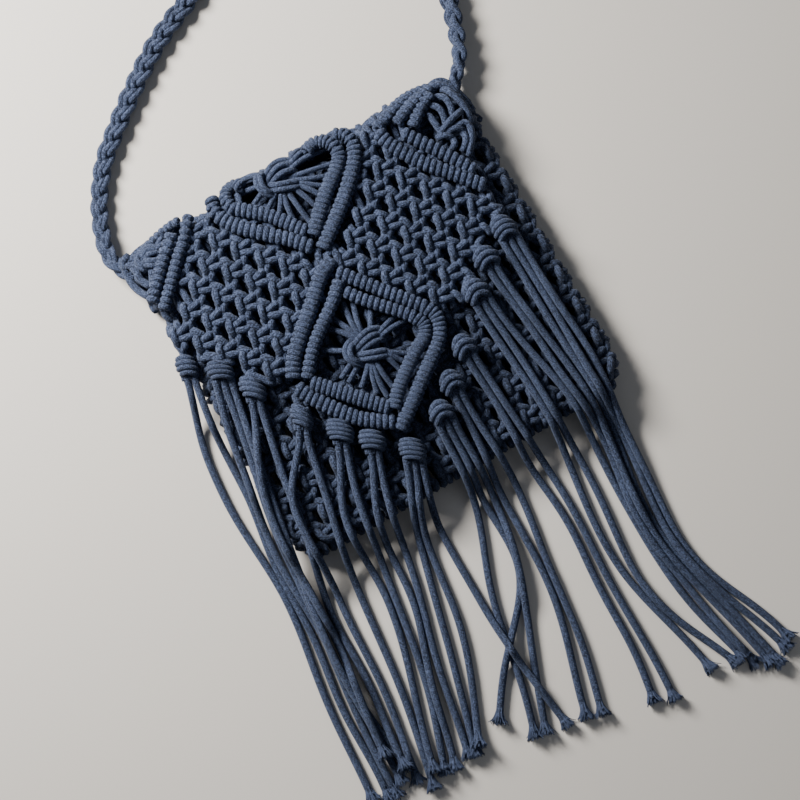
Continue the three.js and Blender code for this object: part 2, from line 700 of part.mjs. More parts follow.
addPiece('pouch', geometryOf(makePouch()), materials.net);
addPiece('flap', geometryOf(flapSolid(0)), materials.net);
for (const bar of bars) {
  const solid = barSolid(bar.fromU, bar.fromV, bar.toU, bar.toV, 0);
  addPiece(bar.name, geometryOf(solid.subtract(flapRoom)), materials.bars);
}
for (const flower of FLOWERS) {
  addPiece(flower.name, geometryOf(flowerSolid(flower, [pouchRoom, flapRoom, ...barRooms])), materials.bars);
}
makeTassels([pouchRoom, flapRoom]).forEach((solid, i) => {
  addPiece(`tassel_${String(i + 1).padStart(2, '0')}`, geometryOf(solid), materials.fringe);
});

// The origin is under the middle of everything but the strap
const extent = new THREE.Box3().setFromObject(bag);
const middle = extent.getCenter(new THREE.Vector3());
addPiece('strap', strapGeometry(), materials.braid);
bag.position.set(-middle.x, -middle.y, -extent.min.z);

const part = new THREE.Group();
part.add(bag);
part.updateMatrixWorld(true);

export default part;
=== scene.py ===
"""Knotted cotton crossbody bag: every cord of the pouch, flap, bars, flowers, fringe and strap."""

import math

import bmesh
import bpy
import numpy as np
from bpy.props import FloatProperty, FloatVectorProperty, IntProperty, PointerProperty
from mathutils import Matrix, Vector


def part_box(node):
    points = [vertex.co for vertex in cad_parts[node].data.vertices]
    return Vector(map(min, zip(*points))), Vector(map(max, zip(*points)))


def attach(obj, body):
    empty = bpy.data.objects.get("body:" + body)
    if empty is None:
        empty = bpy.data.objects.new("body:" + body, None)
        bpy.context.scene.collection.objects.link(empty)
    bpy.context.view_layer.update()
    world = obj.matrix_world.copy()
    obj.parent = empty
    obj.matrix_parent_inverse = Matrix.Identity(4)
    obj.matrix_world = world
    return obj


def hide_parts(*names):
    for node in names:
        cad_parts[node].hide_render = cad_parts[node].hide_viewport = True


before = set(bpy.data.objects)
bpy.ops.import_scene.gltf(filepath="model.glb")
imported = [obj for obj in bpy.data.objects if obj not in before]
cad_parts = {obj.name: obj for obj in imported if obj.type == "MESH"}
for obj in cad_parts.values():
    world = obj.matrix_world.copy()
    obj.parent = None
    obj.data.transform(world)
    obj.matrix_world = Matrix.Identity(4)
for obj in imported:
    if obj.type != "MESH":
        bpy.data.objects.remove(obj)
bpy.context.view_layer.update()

bl_info = {
    "name": "Knotted Crossbody Bag",
    "version": (1, 0, 0),
    "blender": (4, 5, 0),
    "location": "View3D > Sidebar > Bag",
    "description": "Makes the cords of a knotted crossbody bag around its solids",
    "category": "Object",
}

SEED = 7
MM = 1000.0

# Sizes are millimetres in the bag's own frame (X across, Y to the strap, Z up), unless a comment says
# otherwise. Solid of the pouch: its sides, rounded corners and foot, edge, and the crown of its upper face
POUCH_HALF_WIDTH = 118.0
POUCH_CENTRE_X = 2.0
POUCH_FOOT_Y = -111.0
POUCH_MOUTH_Y = 90.0
POUCH_CORNER = 22.0
POUCH_CORNER_DEPTH = 0.96
POUCH_EDGE = 17.0
POUCH_CROWN = 12.0
POUCH_CROWN_POWER = 1.2
POUCH_CREST_Y = 40.0
POUCH_FOOT_ROUND = 8.0
POUCH_FOOT_LIMIT = 0.94

# Solid of the flap: its sheet, sides, slant across the bag and fold over the mouth
FLAP_THICKNESS = 4.0
FLAP_LIFT = 1.2
FLAP_SPLIT = 0.4
FLAP_DROOP = 2.0
FLAP_DROOP_WIDTH = 14.0
FLAP_LEFT_X = -116.5
FLAP_RIGHT_X = 118.5
FLAP_TURN = math.radians(-6.5)
FLAP_PIVOT_Y = 107.0
FOLD_BULGE = 8.5
FOLD_BULGE_POWER = 6
FOLD_END_MIN = 0.5
FOLD_LINE_ROUNDS = 3

# Place of the bag's own frame in the row frame, from the solid of the pouch
POUCH_LOW = np.array(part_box("pouch")[0]) * MM
SHIFT = np.array([
    POUCH_LOW[0] - (POUCH_CENTRE_X - POUCH_HALF_WIDTH),
    POUCH_LOW[1] - POUCH_FOOT_Y,
    0.0,
])

# Cords as tubes: sides of a plain and of a fine one, the least step between two points, the parts in
# which a slack line is worked out, and how far a cord stays above the floor
CORD_SIDES = 6
FINE_SIDES = 8
CORD_STEP_MIN = 1e-4
SLACK_PARTS = 60
FLOOR_CLEARANCE = 0.15

# Cotton of the pieces, as a share of the colours that the settings give. The pouch's share is lowered as
# painted shade, for the shade that the flap and fringe cast on it
COTTON_TONES = {
    "braided_cotton": 1.0,
    "pouch_cotton_painted_shade": 0.8,
    "knotted_cotton": 1.0,
    "wound_cotton": 1.04,
    "fringe_cotton": 0.96,
    # The frays' share is raised as painted light, for loose fibres that catch the light at their tips
    "frayed_cotton_painted_light": 2.0,
}
COTTON_SURFACE = {
    "Roughness": 0.92,
    "Specular IOR Level": 0.25,
    "Sheen Weight": 0.12,
    "Sheen Roughness": 0.55,
    "Sheen Tint": (0.55, 0.65, 0.85, 1),
}

# Scale and detail of the cotton's slow colour changes, loose fibres and drawn strands
SLOW_NOISE = (45, 3)
FIBRE_NOISE = (1100, 2)
STRAND_NOISE = (1, 1)

# Strands and crossed plies around a cord and along one circumference of it, and how the strands twist
STRANDS_AROUND = 28
STRANDS_ALONG = 12
STRAND_TWIST = 9
STRAND_CHANGE = 8
PLIES_AROUND = 8
PLIES_ALONG = 6

# Shares of the strands (with an offset), slow changes and plies in the colour, the plies' share being painted
# shade in the grooves between them, and of strands, fibres and plies in the bump, with its strength and its
# depth in metres
SPECKLE = (5.0, -2.46)
SLOW_TINT = 0.4
PLY_PAINTED_SHADE = 0.3
STRAND_BUMP = 0.8
FIBRE_BUMP = 0.6
PLY_BUMP = 0.4
BUMP_STRENGTH = 0.85
BUMP_DEPTH = 0.0007

# Camera: distance in metres, lens and sensor, look down, roll, the point of the bag that it looks at, and
# how far it sees in metres
CAMERA_DISTANCE = 1.05
CAMERA_LENS = 75.8
CAMERA_SENSOR = 36
CAMERA_LOOK_DOWN = math.radians(83)
CAMERA_ROLL = math.radians(30)
CAMERA_AIM = (-11.4, -50.7, 0.0)
CAMERA_CLIP = 20

# Lamps: name, way from the bag, distance and size in metres, power, colour
LAMPS = [
    ("key", (-0.5, 1.0, 0.76), 1.0, 0.34, 26.5, (1.0, 0.95, 0.88)),
    ("fill", (0.7, -0.6, 1.0), 1.8, 1.6, 1.6, (0.86, 0.92, 1.0)),
]

# Light from all sides, and the floor with half its size in metres
STUDIO_COLOUR = (0.9, 0.93, 1, 1)
STUDIO_STRENGTH = 0.1
FLOOR_HALF_SIZE = 6.0
FLOOR_ROUGHNESS = 0.7

# The four cords of one square knot, from its top to its foot: across, up, out of the sheet.
# The left cord crosses in front of the inner two, turns and comes back below; the right cord goes
# behind them, makes the upright bump over the left cord and leaves through its turn.
KNOT_WIDTH = 22.0
KNOT_HEIGHT = 11.0
KNOT_PATHS = {
    "left": [
        (-8.0, 5.5, 0.0), (-7.6, 3.6, 0.0), (-5.8, 1.4, 0.4), (-3.0, 0.6, 2.2), (0.6, 1.4, 3.2),
        (4.0, 2.5, 2.4), (6.6, 2.6, 0.2), (7.8, 0.2, -0.9), (6.6, -3.2, -0.2), (4.0, -4.6, 2.0),
        (0.6, -4.1, 3.2), (-2.8, -3.2, 2.4), (-5.4, -2.9, 0.5), (-7.0, -3.8, 0.0), (-7.0, -5.5, 0.0),
    ],
    "right": [
        (8.0, 5.5, 0.8), (7.2, 3.8, 2.8), (5.6, 0.6, 1.4), (3.0, -0.6, -2.0), (-3.8, 3.0, -2.6),
        (-5.0, 5.0, 0.6), (-5.8, 3.6, 3.6), (-6.4, 0.4, 4.6), (-6.4, -2.8, 4.0), (-5.4, -5.2, 1.6),
        (-3.2, -5.0, -1.8), (3.4, -2.2, -2.0), (5.4, -1.8, 1.0), (7.0, -3.4, 2.8), (8.6, -5.5, 2.2),
    ],
    "inner_left": [
        (-2.4, 5.5, 2.2), (-1.0, 3.6, 0.8), (-1.6, 0.6, -0.9), (-2.4, -2.6, -0.9), (-3.0, -5.5, 0.8),
    ],
    "inner_right": [
        (4.0, 5.5, 0.0), (3.2, 3.4, -0.3), (2.4, 0.0, -0.8), (2.4, -3.0, -0.8), (3.0, -5.5, 0.0),
    ],
}

# Where a cord goes on below its knot: its place in the next knot, and the side on which that lies; then
# the side from which it came
KNOT_NEXT = {
    "left": ("inner_right", -1),
    "right": ("inner_left", 1),
    "inner_left": ("right", -1),
    "inner_right": ("left", 1),
}
KNOT_FROM = {"left": -1, "right": 1, "inner_left": -1, "inner_right": 1}

# How much knots differ: shift across, shift up, and turn in radians
KNOT_SHAKE = (0.35, 0.3, 0.05)

# Wall of the pouch: the depth of the net's middle in it, how many times that at the sides, half the
# thinnest edge, points of a ring round it, and the share of the girth over which its normal is taken
NET_INSET = 4.4
NET_SIDE_INSET = 1.2
WALL_EDGE_MIN = 0.8
WALL_RING_POINTS = 721
WALL_NORMAL_STEP = 0.006

# Grid in which the wall is looked up: first row above the foot, last row above the mouth, rows, columns,
# and how many rows before the end a look-up stays
SHEET_FOOT_GAP = 1
SHEET_MOUTH_GAP = 16
SHEET_ROWS = 72
SHEET_COLUMNS = 361
SHEET_LAST_CELL = 1.001

# Net of the pouch: how far it stands over the mouth at the front and back, its gap at the foot, the
# front's middle and end as shares of the girth, and how its inner cords are pressed
POUCH_NET_OVER = (4.0, 8.0)
POUCH_NET_FOOT_GAP = 5.0
FRONT_MIDDLE = 0.25
FRONT_END = 0.5
POUCH_INNER_PRESS = 0.8

# Cords that turn round at the foot and at the mouth: how far they go, and the share of it at a shoulder
FOOT_TURN = np.array([0, -4.0, 0])
MOUTH_TURN = np.array([0, 3.2, 0])
TURN_SHOULDER = 0.6

# Diamonds drawn by the bars, in the flap's frame: u, v, half width, half height
DIAMONDS = {
    "centre": (0.0, -122.0, 46.5, 51.0),
    "middle": (0.0, -2.0, 51.0, 65.0),
    "left": (-112.0, -6.0, 51.0, 57.0),
    "right": (110.0, -5.0, 51.0, 59.0),
}

# Lower edge of the flap from its side to its point, u and v, and the rest of its outline
FLAP_EDGE = [(97, -78), (79, -93), (58, -125), (43, -143), (25, -161), (0, -178)]
FLAP_LEFT_END_Y = 44.0
FLAP_RIGHT_LOW = (104.0, 24.0)
FLAP_RIGHT_END_Y = 90
FLAP_BACK_Y = 190

# Net of the flap: rows and columns of knots that are tried, how far its knots go past the back edge and
# from which turn they cover the diamonds, how its inner cords are pressed and how high it lies, and the
# steps by which a cord starts, and ends below a bar or at the fold
FLAP_ROWS = range(-8, 18)
FLAP_COLUMNS = range(-6, 7)
FLAP_BACK_OVER = 3
FLAP_NET_TURN = 1.2
FLAP_INNER_PRESS = 0.6
FLAP_NET_LIFT = 0.2
NET_CORD_START = np.array([0, 2.5, -4.0])
NET_ENDS_AT_BAR = [(0, -4.5, -1.5)]
NET_ENDS_AT_FOLD = [(0, -2.0, -3.0), (0, -2.2, -8.0)]

# The fold presses the net flat and into the bag, most where it sinks between the diamonds: u, half width
FOLD_FLATTEN = 0.3
FOLD_PRESS = 2.4
FOLD_DIPS = [(-60.0, 9.0), (51.0, 10.0)]
FOLD_DIP = 4.5

# The net is drawn down beside and below a bar: how far from the bar's line, and how deep
BAR_PRESS_REACH = 9.0
BAR_PRESS = 3.0
BAR_PRESS_SAMPLES = 60

# Cords of the net that go into a gathering knot: the edge that they leave, how far away a knot may be,
# their straight start, and the heights above the knot's middle where they come in and end
FRINGE_EDGE_REACH = 6
FRINGE_MOUTH_GAP = 20
TAIL_REACH = 34
TAIL_STRAIGHT = 3
TAIL_COMES_IN = 9
TAIL_ENDS = 2

# Plain cords along the fold, lift, then u and turn: at the middle window, between the diamonds and behind
FOLD_CORDS = [
    (7.5, [(-38, 1.2), (-29, 1.0), (-22, 0.7), (-17, 0.4)]),
    (1.2, [(-34, 1.0), (-14, 0.95), (14, 0.7)]),
    (1.2, [(-34, 1.25), (-12, 1.25), (16, 1.05)]),
    (1.2, [(-35, 1.5), (-10, 1.6), (30, 1.3)]),
    (1.2, [(-46, 1.2), (-58, 1.1), (-72, 1.15), (-84, 1.3)]),
    (1.2, [(38, 0.9), (50, 0.8), (62, 0.6)]),
    (1.2, [(-46, 1.95), (0, 2.0), (56, 1.95)]),
    (1.2, [(-46, 2.25), (0, 2.3), (56, 2.25)]),
    (1.2, [(-46, 2.55), (0, 2.6), (56, 2.55)]),
    (1.2, [(-46, 2.85), (0, 2.9), (56, 2.85)]),
    (1.2, [(60, 1.75), (86, 1.8), (112, 1.6)]),
    (1.2, [(60, 2.3), (86, 2.35), (112, 2.3)]),
    (1.2, [(60, 2.8), (86, 2.85), (112, 2.8)]),
]
FOLD_CORD_POINTS = 24
FOLD_CORD_SHARE = 0.9

# Short cords between the bars where the middle and the centre diamond meet: u, v and lift
JUNCTION_CORDS = [
    [(-5.1, -55.5, 0.0), (-5.1, -58.5, 2.6), (-5.5, -62.4, 3.2), (-5.5, -66.3, 2.0), (-5.5, -69, -1.0)],
    [(3.3, -58.5, 0.0), (3.9, -61.7, 2.8), (4.9, -65.3, 3.2), (5.1, -69.8, 2.0), (5.1, -72.5, -1.0)],
    [(-4.0, -63.5, -1.0), (-1.5, -63.0, 2.2), (1.1, -62.4, 3.0), (4.2, -60.6, 2.0), (6.4, -59.0, -1.0)],
]

# Wound bars on the sides of the diamonds: pitches of the wraps on the outer and inner bar, half widths
# of the bars, lean of the wraps, then the lines of the outer and the inner bar, u and v. At the fold a
# bar hooks round its window.
BARS = {
    "centre_upper_left": ((3.7, 3.8), (5.2, 4.4), 0.05, (
        [(1.4, -66.5), (-8.5, -73), (-21, -87), (-38, -105.5), (-45, -115), (-49, -124)],
        [(0.2, -80.5), (-9.6, -91.5), (-29.7, -110.8), (-41.5, -127.5)])),
    "centre_upper_right": ((4.0, 4.0), (4.6, 4.3), -0.1, (
        [(1, -75), (19.5, -94), (34.3, -108.5), (42.2, -116.4)],
        [(0.6, -88), (8.7, -96.7), (27.8, -113.7), (33.4, -119.4)])),
    "centre_lower_right": ((3.5, 3.1), (4.9, 4.7), 0.0, (
        [(42.4, -116.6), (45.3, -123), (44.6, -130), (40.8, -137.3), (23.6, -154.1), (6.6, -170),
         (-2.4, -178)],
        [(33.8, -119.4), (36.3, -125.5), (34.2, -131.5), (25.9, -138), (8.4, -153.8), (-0.5, -165)])),
    "centre_lower_left": ((3.8, 3.4), (5.1, 4.9), -0.1, (
        [(-3.2, -172.7), (-22.6, -161.4), (-41.5, -141.2), (-49.2, -129.9)],
        [(-2.7, -163.6), (-10.3, -157), (-29.2, -140.1), (-40.2, -130.5)])),
    "middle_lower_left": ((4.1, 3.7), (5.0, 4.8), -0.12, (
        [(-6.8, -55.1), (-15.6, -46.5), (-27.4, -37.4), (-45.5, -22.5), (-52, -11.8), (-51.5, -3)],
        [(-6.2, -44.7), (-22.8, -26.7), (-35.4, -17.3), (-41.4, -12.5), (-42.8, -7.5), (-39.8, -2.2),
         (-34.4, -0.8), (-31.3, -5.2)])),
    "middle_lower_right": ((3.7, 3.4), (5.0, 5.0), 0.0, (
        [(33, 3), (38, 1), (40.9, -3.5), (39.4, -11.9), (26.4, -30.4), (12.9, -44.5), (-1.6, -58.5)],
        [(13.3, 0.1), (20.7, 3), (28.5, -0.8), (30.4, -7.1), (27.5, -13.5), (13.9, -27.4), (-3.5, -48.5)])),
    "left_lower": ((3.9, 4.3), (4.1, 4.6), 0.0, (
        [(-68.1, -7.4), (-75, -16.3), (-84.1, -26), (-98.6, -44), (-105.4, -52)],
        [(-82, -13.4), (-93.4, -23.9), (-105.3, -38.5), (-110.1, -45.1)])),
    "right_lower": ((4.1, 4.1), (4.9, 4.7), -0.1, (
        [(106.2, -59.9), (91.5, -46), (75.1, -30.7), (62, -13), (58.7, -4.1)],
        [(104.4, -48.8), (91.1, -31.7), (72.5, -10.3)])),
}

# A bar: seat on the flap, rise above it, half height, core, points of its line, and step of the core
BAR_SEAT = 2.9
BAR_RISE = 1.8
BAR_HALF_HEIGHT = 3.6
BAR_CORE = 2.6
BAR_SAMPLES = 200
BAR_CORE_STEP = 8

# Bars that turn over the fold, row by row: u and turn round the fold in radians
FOLD_BARS = {
    "left_fold": [[(-113, 1.05), (-97, 1.25), (-84, 1.2), (-75, 0.95)]],
    "right_fold": [
        [(59.6, 0.04), (68.2, 0.25), (79, 0.6), (90.5, 0.95), (109, 1.35)],
        [(71.3, -0.17), (80, 0.14), (89.3, 0.45), (105, 1.2)],
        [(79.8, -0.7), (86.2, -0.22), (92.3, 0.14), (99.2, 0.5)],
    ],
}
FOLD_PITCH = 4.2
FOLD_BAR_HALF_WIDTH = 4.4
FOLD_BAR_RISE = 1.0

# Wraps of a bar: the fewest, points in one, where the first starts as a share of a turn, half the width
# as a share of the pitch, thickness as a share of the width, and how uneven they are
WRAPS_MIN = 3
WRAP_POINTS = 12
WRAP_START = -0.25
WRAP_WIDTH = 0.54
WRAP_FLAT = 0.8
WRAP_UNEVEN = 0.05
WRAP_WAVES = (23, 7)

# Where a bar bends, its wraps crowd together and are narrow inside and wide outside the bend
BAR_CROWDING = 0.7
BEND_SAMPLES = 15
WRAP_FAN = (0.35, 1.3)

# Flower knots: name, diamond, u, v, size, directions of the spread cords in degrees
FLOWERS = [
    ("flower_centre", "centre", 0.0, -125.0, 0.95,
     (14, 27, 65, 84, 95, 116, 129, 157, 204, 216, 236, 258, 269, 280, 303, 317, 330)),
    ("flower_middle", "middle", -8.0, -8.0, 0.95,
     (-4, 14, 30, 48, 150, 172, 198, 222, 244, 266, 282, 298, 314, 330, 344)),
    ("flower_left", "left", -101.0, -20.0, 0.6, (20, 50, 250, 275, 300, 325, 350)),
]

# Cords of a flower knot, across, up and out: the upper and lower bundles and the loop that locks them
FLOWER_CORDS = [
    [(-9.9, -4.2, 0), (-8.1, -4.5, 2.4), (-0.7, -7.0, 4.6), (7.2, -8.6, 3.0), (10.5, -9.2, -0.6)],
    [(-9.9, -1.0, 0), (-7.9, -1.4, 2.6), (-0.4, -3.6, 5.0), (7.6, -5.2, 3.6), (11.4, -6.9, -0.4)],
    [(-6.5, -0.6, 0), (-4.8, 0.2, 2.2), (1.9, 1.6, 5.0), (8.1, 1.9, 3.4), (11.5, 1.4, -0.6)],
    [(-8.2, 1.2, 0), (-6.9, 2.4, 2.6), (-0.2, 5.0, 5.4), (6.5, 6.3, 4.0), (11.3, 4.9, -0.4)],
    [(-9.0, 3.4, 0), (-8.3, 4.8, 2.6), (-2.7, 7.9, 4.8), (4.5, 10.3, 4.2), (10.8, 9.4, 1.8),
     (13.2, 6.5, -1.0)],
    [(-6.6, 9.4, -0.6), (-8.9, 8.8, 2.0), (-13.3, 5.8, 4.2), (-15.1, 0.5, 4.8), (-13.0, -4.7, 4.2),
     (-9.4, -7.5, 2.4), (-6.0, -8.4, -0.8)],
    [(-6.0, 6.6, 0.6), (-8.3, 6.0, 3.6), (-11.4, 3.1, 5.6), (-12.0, -1.6, 5.8), (-9.7, -5.2, 4.2),
     (-6.6, -6.6, 0.6)],
]
FLOWER_CORD = 1.9
FLOWER_CORE = 2.5
FLOWER_CORE_LINE = [(-7, 0, -0.5), (0, 0.5, 0.5), (7, 0.5, -0.5)]

# Spread cords of a flower: distances at which the window's rim is looked for, the rim's distance from
# the diamond's line, the gap at the flap's sides, the least length, and how far they go on below the bars
SPOKE_TRIES = np.arange(2, 30, 0.5)
WINDOW_RIM = 12.64
SPOKE_SIDE_GAP = 3
SPOKE_MIN = 6.0
SPOKE_TUCK = 4.0

# Their start as a share of their length, bend to a side, points, and how they rise and sink again
SPOKE_START = 0.15
SPOKE_BEND = 1.6
SPOKE_BENDS = 5
SPOKE_POINTS = 7
SPOKE_RISE = 2.6
SPOKE_RISE_END = 1.1
SPOKE_SINK = 0.6

# Cords of the loose flower in the right corner: u, v and lift
RIGHT_FLOWER = [
    [(106.5, 10, -1), (108.7, 6.9, 2.5), (112.1, 0.9, 3.5), (114.8, -5.2, 3), (115.9, -12.7, 2),
     (115.8, -17.8, -0.5)],
    [(100, 4, -0.5), (102.6, 3.1, 2.5), (106.5, 0.3, 4), (107.4, -5.2, 4), (106.1, -10.3, 2.5),
     (104.5, -13, 0)],
    [(94, 1.5, -0.5), (96.5, 0.2, 2.5), (100.1, -3.6, 4), (100.8, -9.6, 3.5), (99.9, -13.7, 1.5)],
    [(90.5, -1.5, -1), (92.6, -5.2, 2), (93.8, -10.7, 3), (95.1, -16.2, 2.5), (97.6, -20.4, 0.5)],
    [(113, -8.5, 0), (111.1, -10.3, 3.5), (105.9, -12.8, 6), (101.3, -14.8, 6), (96.4, -17.5, 4),
     (93.5, -19.5, 0.5)],
    [(97, -17.5, 1), (100, -19.2, 4), (104.9, -19.4, 5), (108.2, -21.7, 3), (109.5, -23, 0)],
    [(103, -17.5, 1), (106.1, -17.9, 4), (111.6, -18.1, 4.5), (113.1, -22.6, 4), (111.2, -28.8, 3.5),
     (107.9, -33.9, 2.5), (105.5, -37.4, 0)],
    [(106.8, -22, 2.5), (108.2, -25.8, 3.5), (106.5, -30.2, 3), (102.4, -33.3, 0.5)],
    [(91.4, -20.5, 1), (96.2, -20.8, 4), (99.5, -23, 3), (101, -25, 0.5)],
    [(100.1, -23.9, 2), (100.2, -27.7, 3), (97.3, -30.3, 0.5)],
]
RIGHT_FLOWER_CORD = 2.2

# Gathering knots, u and v; then radius, length, gap above the pouch, and share of the radius above that
KNOTS = [
    (-106, -89), (-88, -101), (-74, -119), (-53.5, -147), (-35.5, -164), (-20, -177), (0, -192),
    (25, -178), (38, -164), (53.5, -147), (74, -119), (88, -102), (106, -89),
]
KNOT_RADIUS = 7.4
KNOT_LENGTH = 15.0
KNOT_REST = 0.8
KNOT_SINK = 0.85

# Gathering knots: width, height, slope of the wraps, how far the wraps bow up, and how many show; then
# how all of them taper, overlap, rise and bow, and the points of a wrap
HEADS = [
    (14.5, 13.0, 0.3, 1.0, 4), (16.7, 11.5, 0.35, 1.0, 4), (16.7, 13.0, 0.5, 1.0, 4),
    (14.5, 12.5, 0.6, 0.8, 4), (17.2, 12.8, 0.35, 0.8, 5), (17.4, 11.8, 0.3, 0.8, 4),
    (17.0, 13.5, 0.3, 1.0, 5), (17.4, 11.5, 0.0, 3.5, 3), (17.4, 11.5, 0.0, 3.8, 3),
    (17.0, 11.5, 0.0, 3.8, 3), (18.0, 12.5, 0.0, 3.5, 3), (18.0, 11.5, 0.05, 3.0, 3),
    (16.5, 13.5, 0.1, 2.5, 4),
]
HEAD_TAPER = 0.16
HEAD_OVERLAP = 1.7
HEAD_DEPTH = 7.0
HEAD_BOW_MIDDLE = 0.6
HEAD_WRAP_POINTS = 23

# Cords inside a gathering knot: places to its sides, thickness, and a line along it, aside and up
HEAD_CORDS_ASIDE = (-3.0, 0, 3.0)
HEAD_CORD = 2.5
HEAD_CORD_LINE = [(-5, 0.8, 0), (0, 1.0, 0), (8, 1.1, -1.5)]

# Fringe cords in the order in which they lie down: knot, over the edge, half way, loose end
CORDS = [
    (1, -133, -19, -135, -122, -148, -247),
    (1, -121, -21, -130, -126, -139, -252),
    (2, -114, -22, -126, -118, -122, -242),
    (2, -108, -31, -123, -127, -133, -253),
    (2, -103, -30, -120, -120, -128, -247),
    (3, -113, -61, -118, -132, -126, -228),
    (3, -97, -60, -112, -140, -119, -240),
    (4, -101, -76, -104, -137, -116, -252),
    (4, -85, -99, -96, -173, -110, -260),
    (5, -76, -97, -81, -155, -104, -251),
    (5, -67, -99, -77, -174, -99, -256),
    (6, -58, -104, -70, -172, -94, -256),
    (6, -52, -114, -68, -188, -84, -254),
    (7, -44, -126, -62, -203, -79, -255),
    (7, -37, -123, -49, -187, -73, -252),
    (8, -3, -121, -21, -181, -42, -264),
    (8, 3, -120, -2, -178, -55, -246),
    (8, 9, -128, -10, -205, -35, -265),
    (7, -31, -132, -31, -182, -24, -268),
    (9, 15, -118, 10, -192, -8, -270),
    (9, 23, -124, 17, -190, 1, -273),
    (10, 38, -118, 38, -209, 31, -282),
    (10, 45, -124, 45, -214, 41, -287),
    (11, 60, -123, 54, -214, 69, -283),
    (11, 67, -128, 61, -224, 83, -288),
    (11, 79.5, -127, 75.5, -210, 89, -287),
    (12, 84, -126, 79, -212, 95, -294),
    (13, 93, -122, 87, -210, 109, -301),
    (12, 88.5, -124, 83, -211, 103, -298),
    (13, 97.5, -121, 91, -210, 114, -296),
    (13, 102, -120, 95, -211, 119, -291),
]

# A fringe cord: radius, height at which it rests, distance to the next, steepest fall, distance to the
# pouch's edge, points, and gap above what it lies on
FRINGE_RADIUS = 2.3
CORD_REST = 4.2
CORD_PITCH = 4.8
CORD_FALL = 0.85
CORD_CLEARANCE = 5.0
CORD_SAMPLES = 40
PRESS_GAP = 0.4

# A fringe cord leaves its knot: shares of the knot's length, points that the knot holds, their fall, and
# the points at which the cords of one knot lie together
KNOT_EXIT = (0.3, 0.9)
CORD_HELD = 3
CORD_HELD_FALL = 1.5
CORD_TOGETHER = 5

# A laid cord settles: rounds of smoothing, and how far a point may sink
SETTLE_ROUNDS = 4
SETTLE_SINK = 0.4

# Slow sway of a fringe cord: how far to a side, its length from crest to crest, the share of the cord at
# which it is full, and how length and phase go on from cord to cord
FRINGE_SWAY = 1.2
FRINGE_WAVE = 125.0
FRINGE_SWAY_FULL = 0.3
FRINGE_WAVE_CHANGE = 0.25
FRINGE_WAVE_STEP = 5
FRINGE_PHASE_STEP = 2.4

# Frayed ends: how much wider than the cord they open, the share of the fray that starts inside the cord,
# the share that holds together, its points, sides and width, and the points by which its way is taken
FRAY_OPENING = 1.25
FRAY_INSIDE = 0.3
FRAY_CORE = 0.7
FRAY_CORE_POINTS = 5
FRAY_CORE_SIDES = 10
FRAY_CORE_WIDTH = 0.93
FRAY_WAY_POINTS = 4

# Loose fibres of a fray: their number, half their thickness, sides and thickness at the tip, then the
# least and most of their place across the fray, length past it, spread, drift to the side and up, and root
FRAY_FIBRES = 80
FRAY_FIBRE = 0.5
FIBRE_SIDES = 4
FIBRE_TIP = 0.5
FIBRE_ACROSS = (0.05, 1.0)
FIBRE_PAST = (-0.6, 2.0)
FIBRE_SPREAD = (0.95, 1.2)
FIBRE_ASIDE = (-1.0, 1.0)
FIBRE_UP = (-0.3, 1.2)
FIBRE_ROOT = (-0.1, 0.45)

# Share of the fray at which a fibre comes free, and how deep it lies at its root, half way and there
FIBRE_FREE = 0.8
FIBRE_DEPTHS = (0.8, 0.95, 1.0)

# Strap from the left corner, out beyond the bag and back to the right corner
STRAP_ROUTE = [
    (-119.5, 103, 12), (-124, 116, 9.5), (-122, 130, 7), (-114, 150, 5), (-99, 172, 5),
    (-79, 190, 5), (-56, 208, 5), (-31, 225, 5), (0, 240, 5), (44, 263, 5), (74, 298, 5),
    (72, 345, 5), (42, 392, 5), (20, 440, 5), (34, 490, 5), (82, 514, 5), (134, 494, 5),
    (163, 440, 5), (171, 360, 5), (168, 280, 5), (158, 212, 5), (146, 163, 6.8),
    (138, 138, 7.5), (130, 119, 9), (122, 103, 11),
]

# Ends of the strap inside the corners
STRAP_TIE_LEFT = (-113, 97, 12)
STRAP_TIE_RIGHT = (111, 95, 9)
STRAP_LAST = (118.3, 105, 9)

# Braid of the strap: strands of two cords, radius of a cord, half the distance in a pair, how far a
# strand sways and rises, and where the braid starts to stand on its edge as a share of its length
STRAP_STRANDS = 3
STRAP_CORD = 2.1
STRAP_PAIR = 1.45
STRAP_SWAY = 3.1
STRAP_RISE = 2.3
STRAP_TURN_FROM = 0.86

# The braid is narrow at its first end: share of its width there, length to full width, and the share of
# a cord's thickness that stays
STRAP_NARROW = 0.78
STRAP_NARROW_LENGTH = 150
STRAP_CORD_STAYS = 0.3
STRAP_SAMPLES = 900

# Cords looped round the top corners: x, y and height
CORNER_LOOPS = {
    "left": [
        [(-113, 109, 19), (-117, 108, 17), (-119.5, 102, 14), (-120, 94, 14), (-118, 86.5, 15),
         (-114.5, 80, 18)],
        [(-115, 103, 17), (-113.5, 97, 20), (-113.5, 91, 20), (-110.5, 85, 21)],
        [(-117, 105, 16), (-110, 99, 21.5), (-103, 93.5, 22)],
        [(-114, 106.5, 17), (-108, 105, 20.5), (-101, 103, 22)],
        [(-99.5, 110, 18), (-101, 104.5, 21.5), (-101.5, 98, 21.5)],
        [(-114, 107.5, 12), (-107, 110, 12.5), (-99, 110.5, 12.5), (-92, 109, 12)],
    ],
    "right": [
        [(101, 109.5, 15), (107, 111, 15), (112, 109.5, 14), (115.5, 104, 13), (117.5, 97, 12),
         (119, 88, 11)],
        [(100, 107, 20), (107, 107, 20), (111.5, 104, 19), (114, 98, 18), (115.5, 91, 17), (116.5, 82, 16)],
        [(101, 109, 9.5), (108, 110.5, 9.5), (114, 108, 9), (117.5, 101, 8.5), (119.5, 93, 8), (120, 85, 8)],
    ],
}


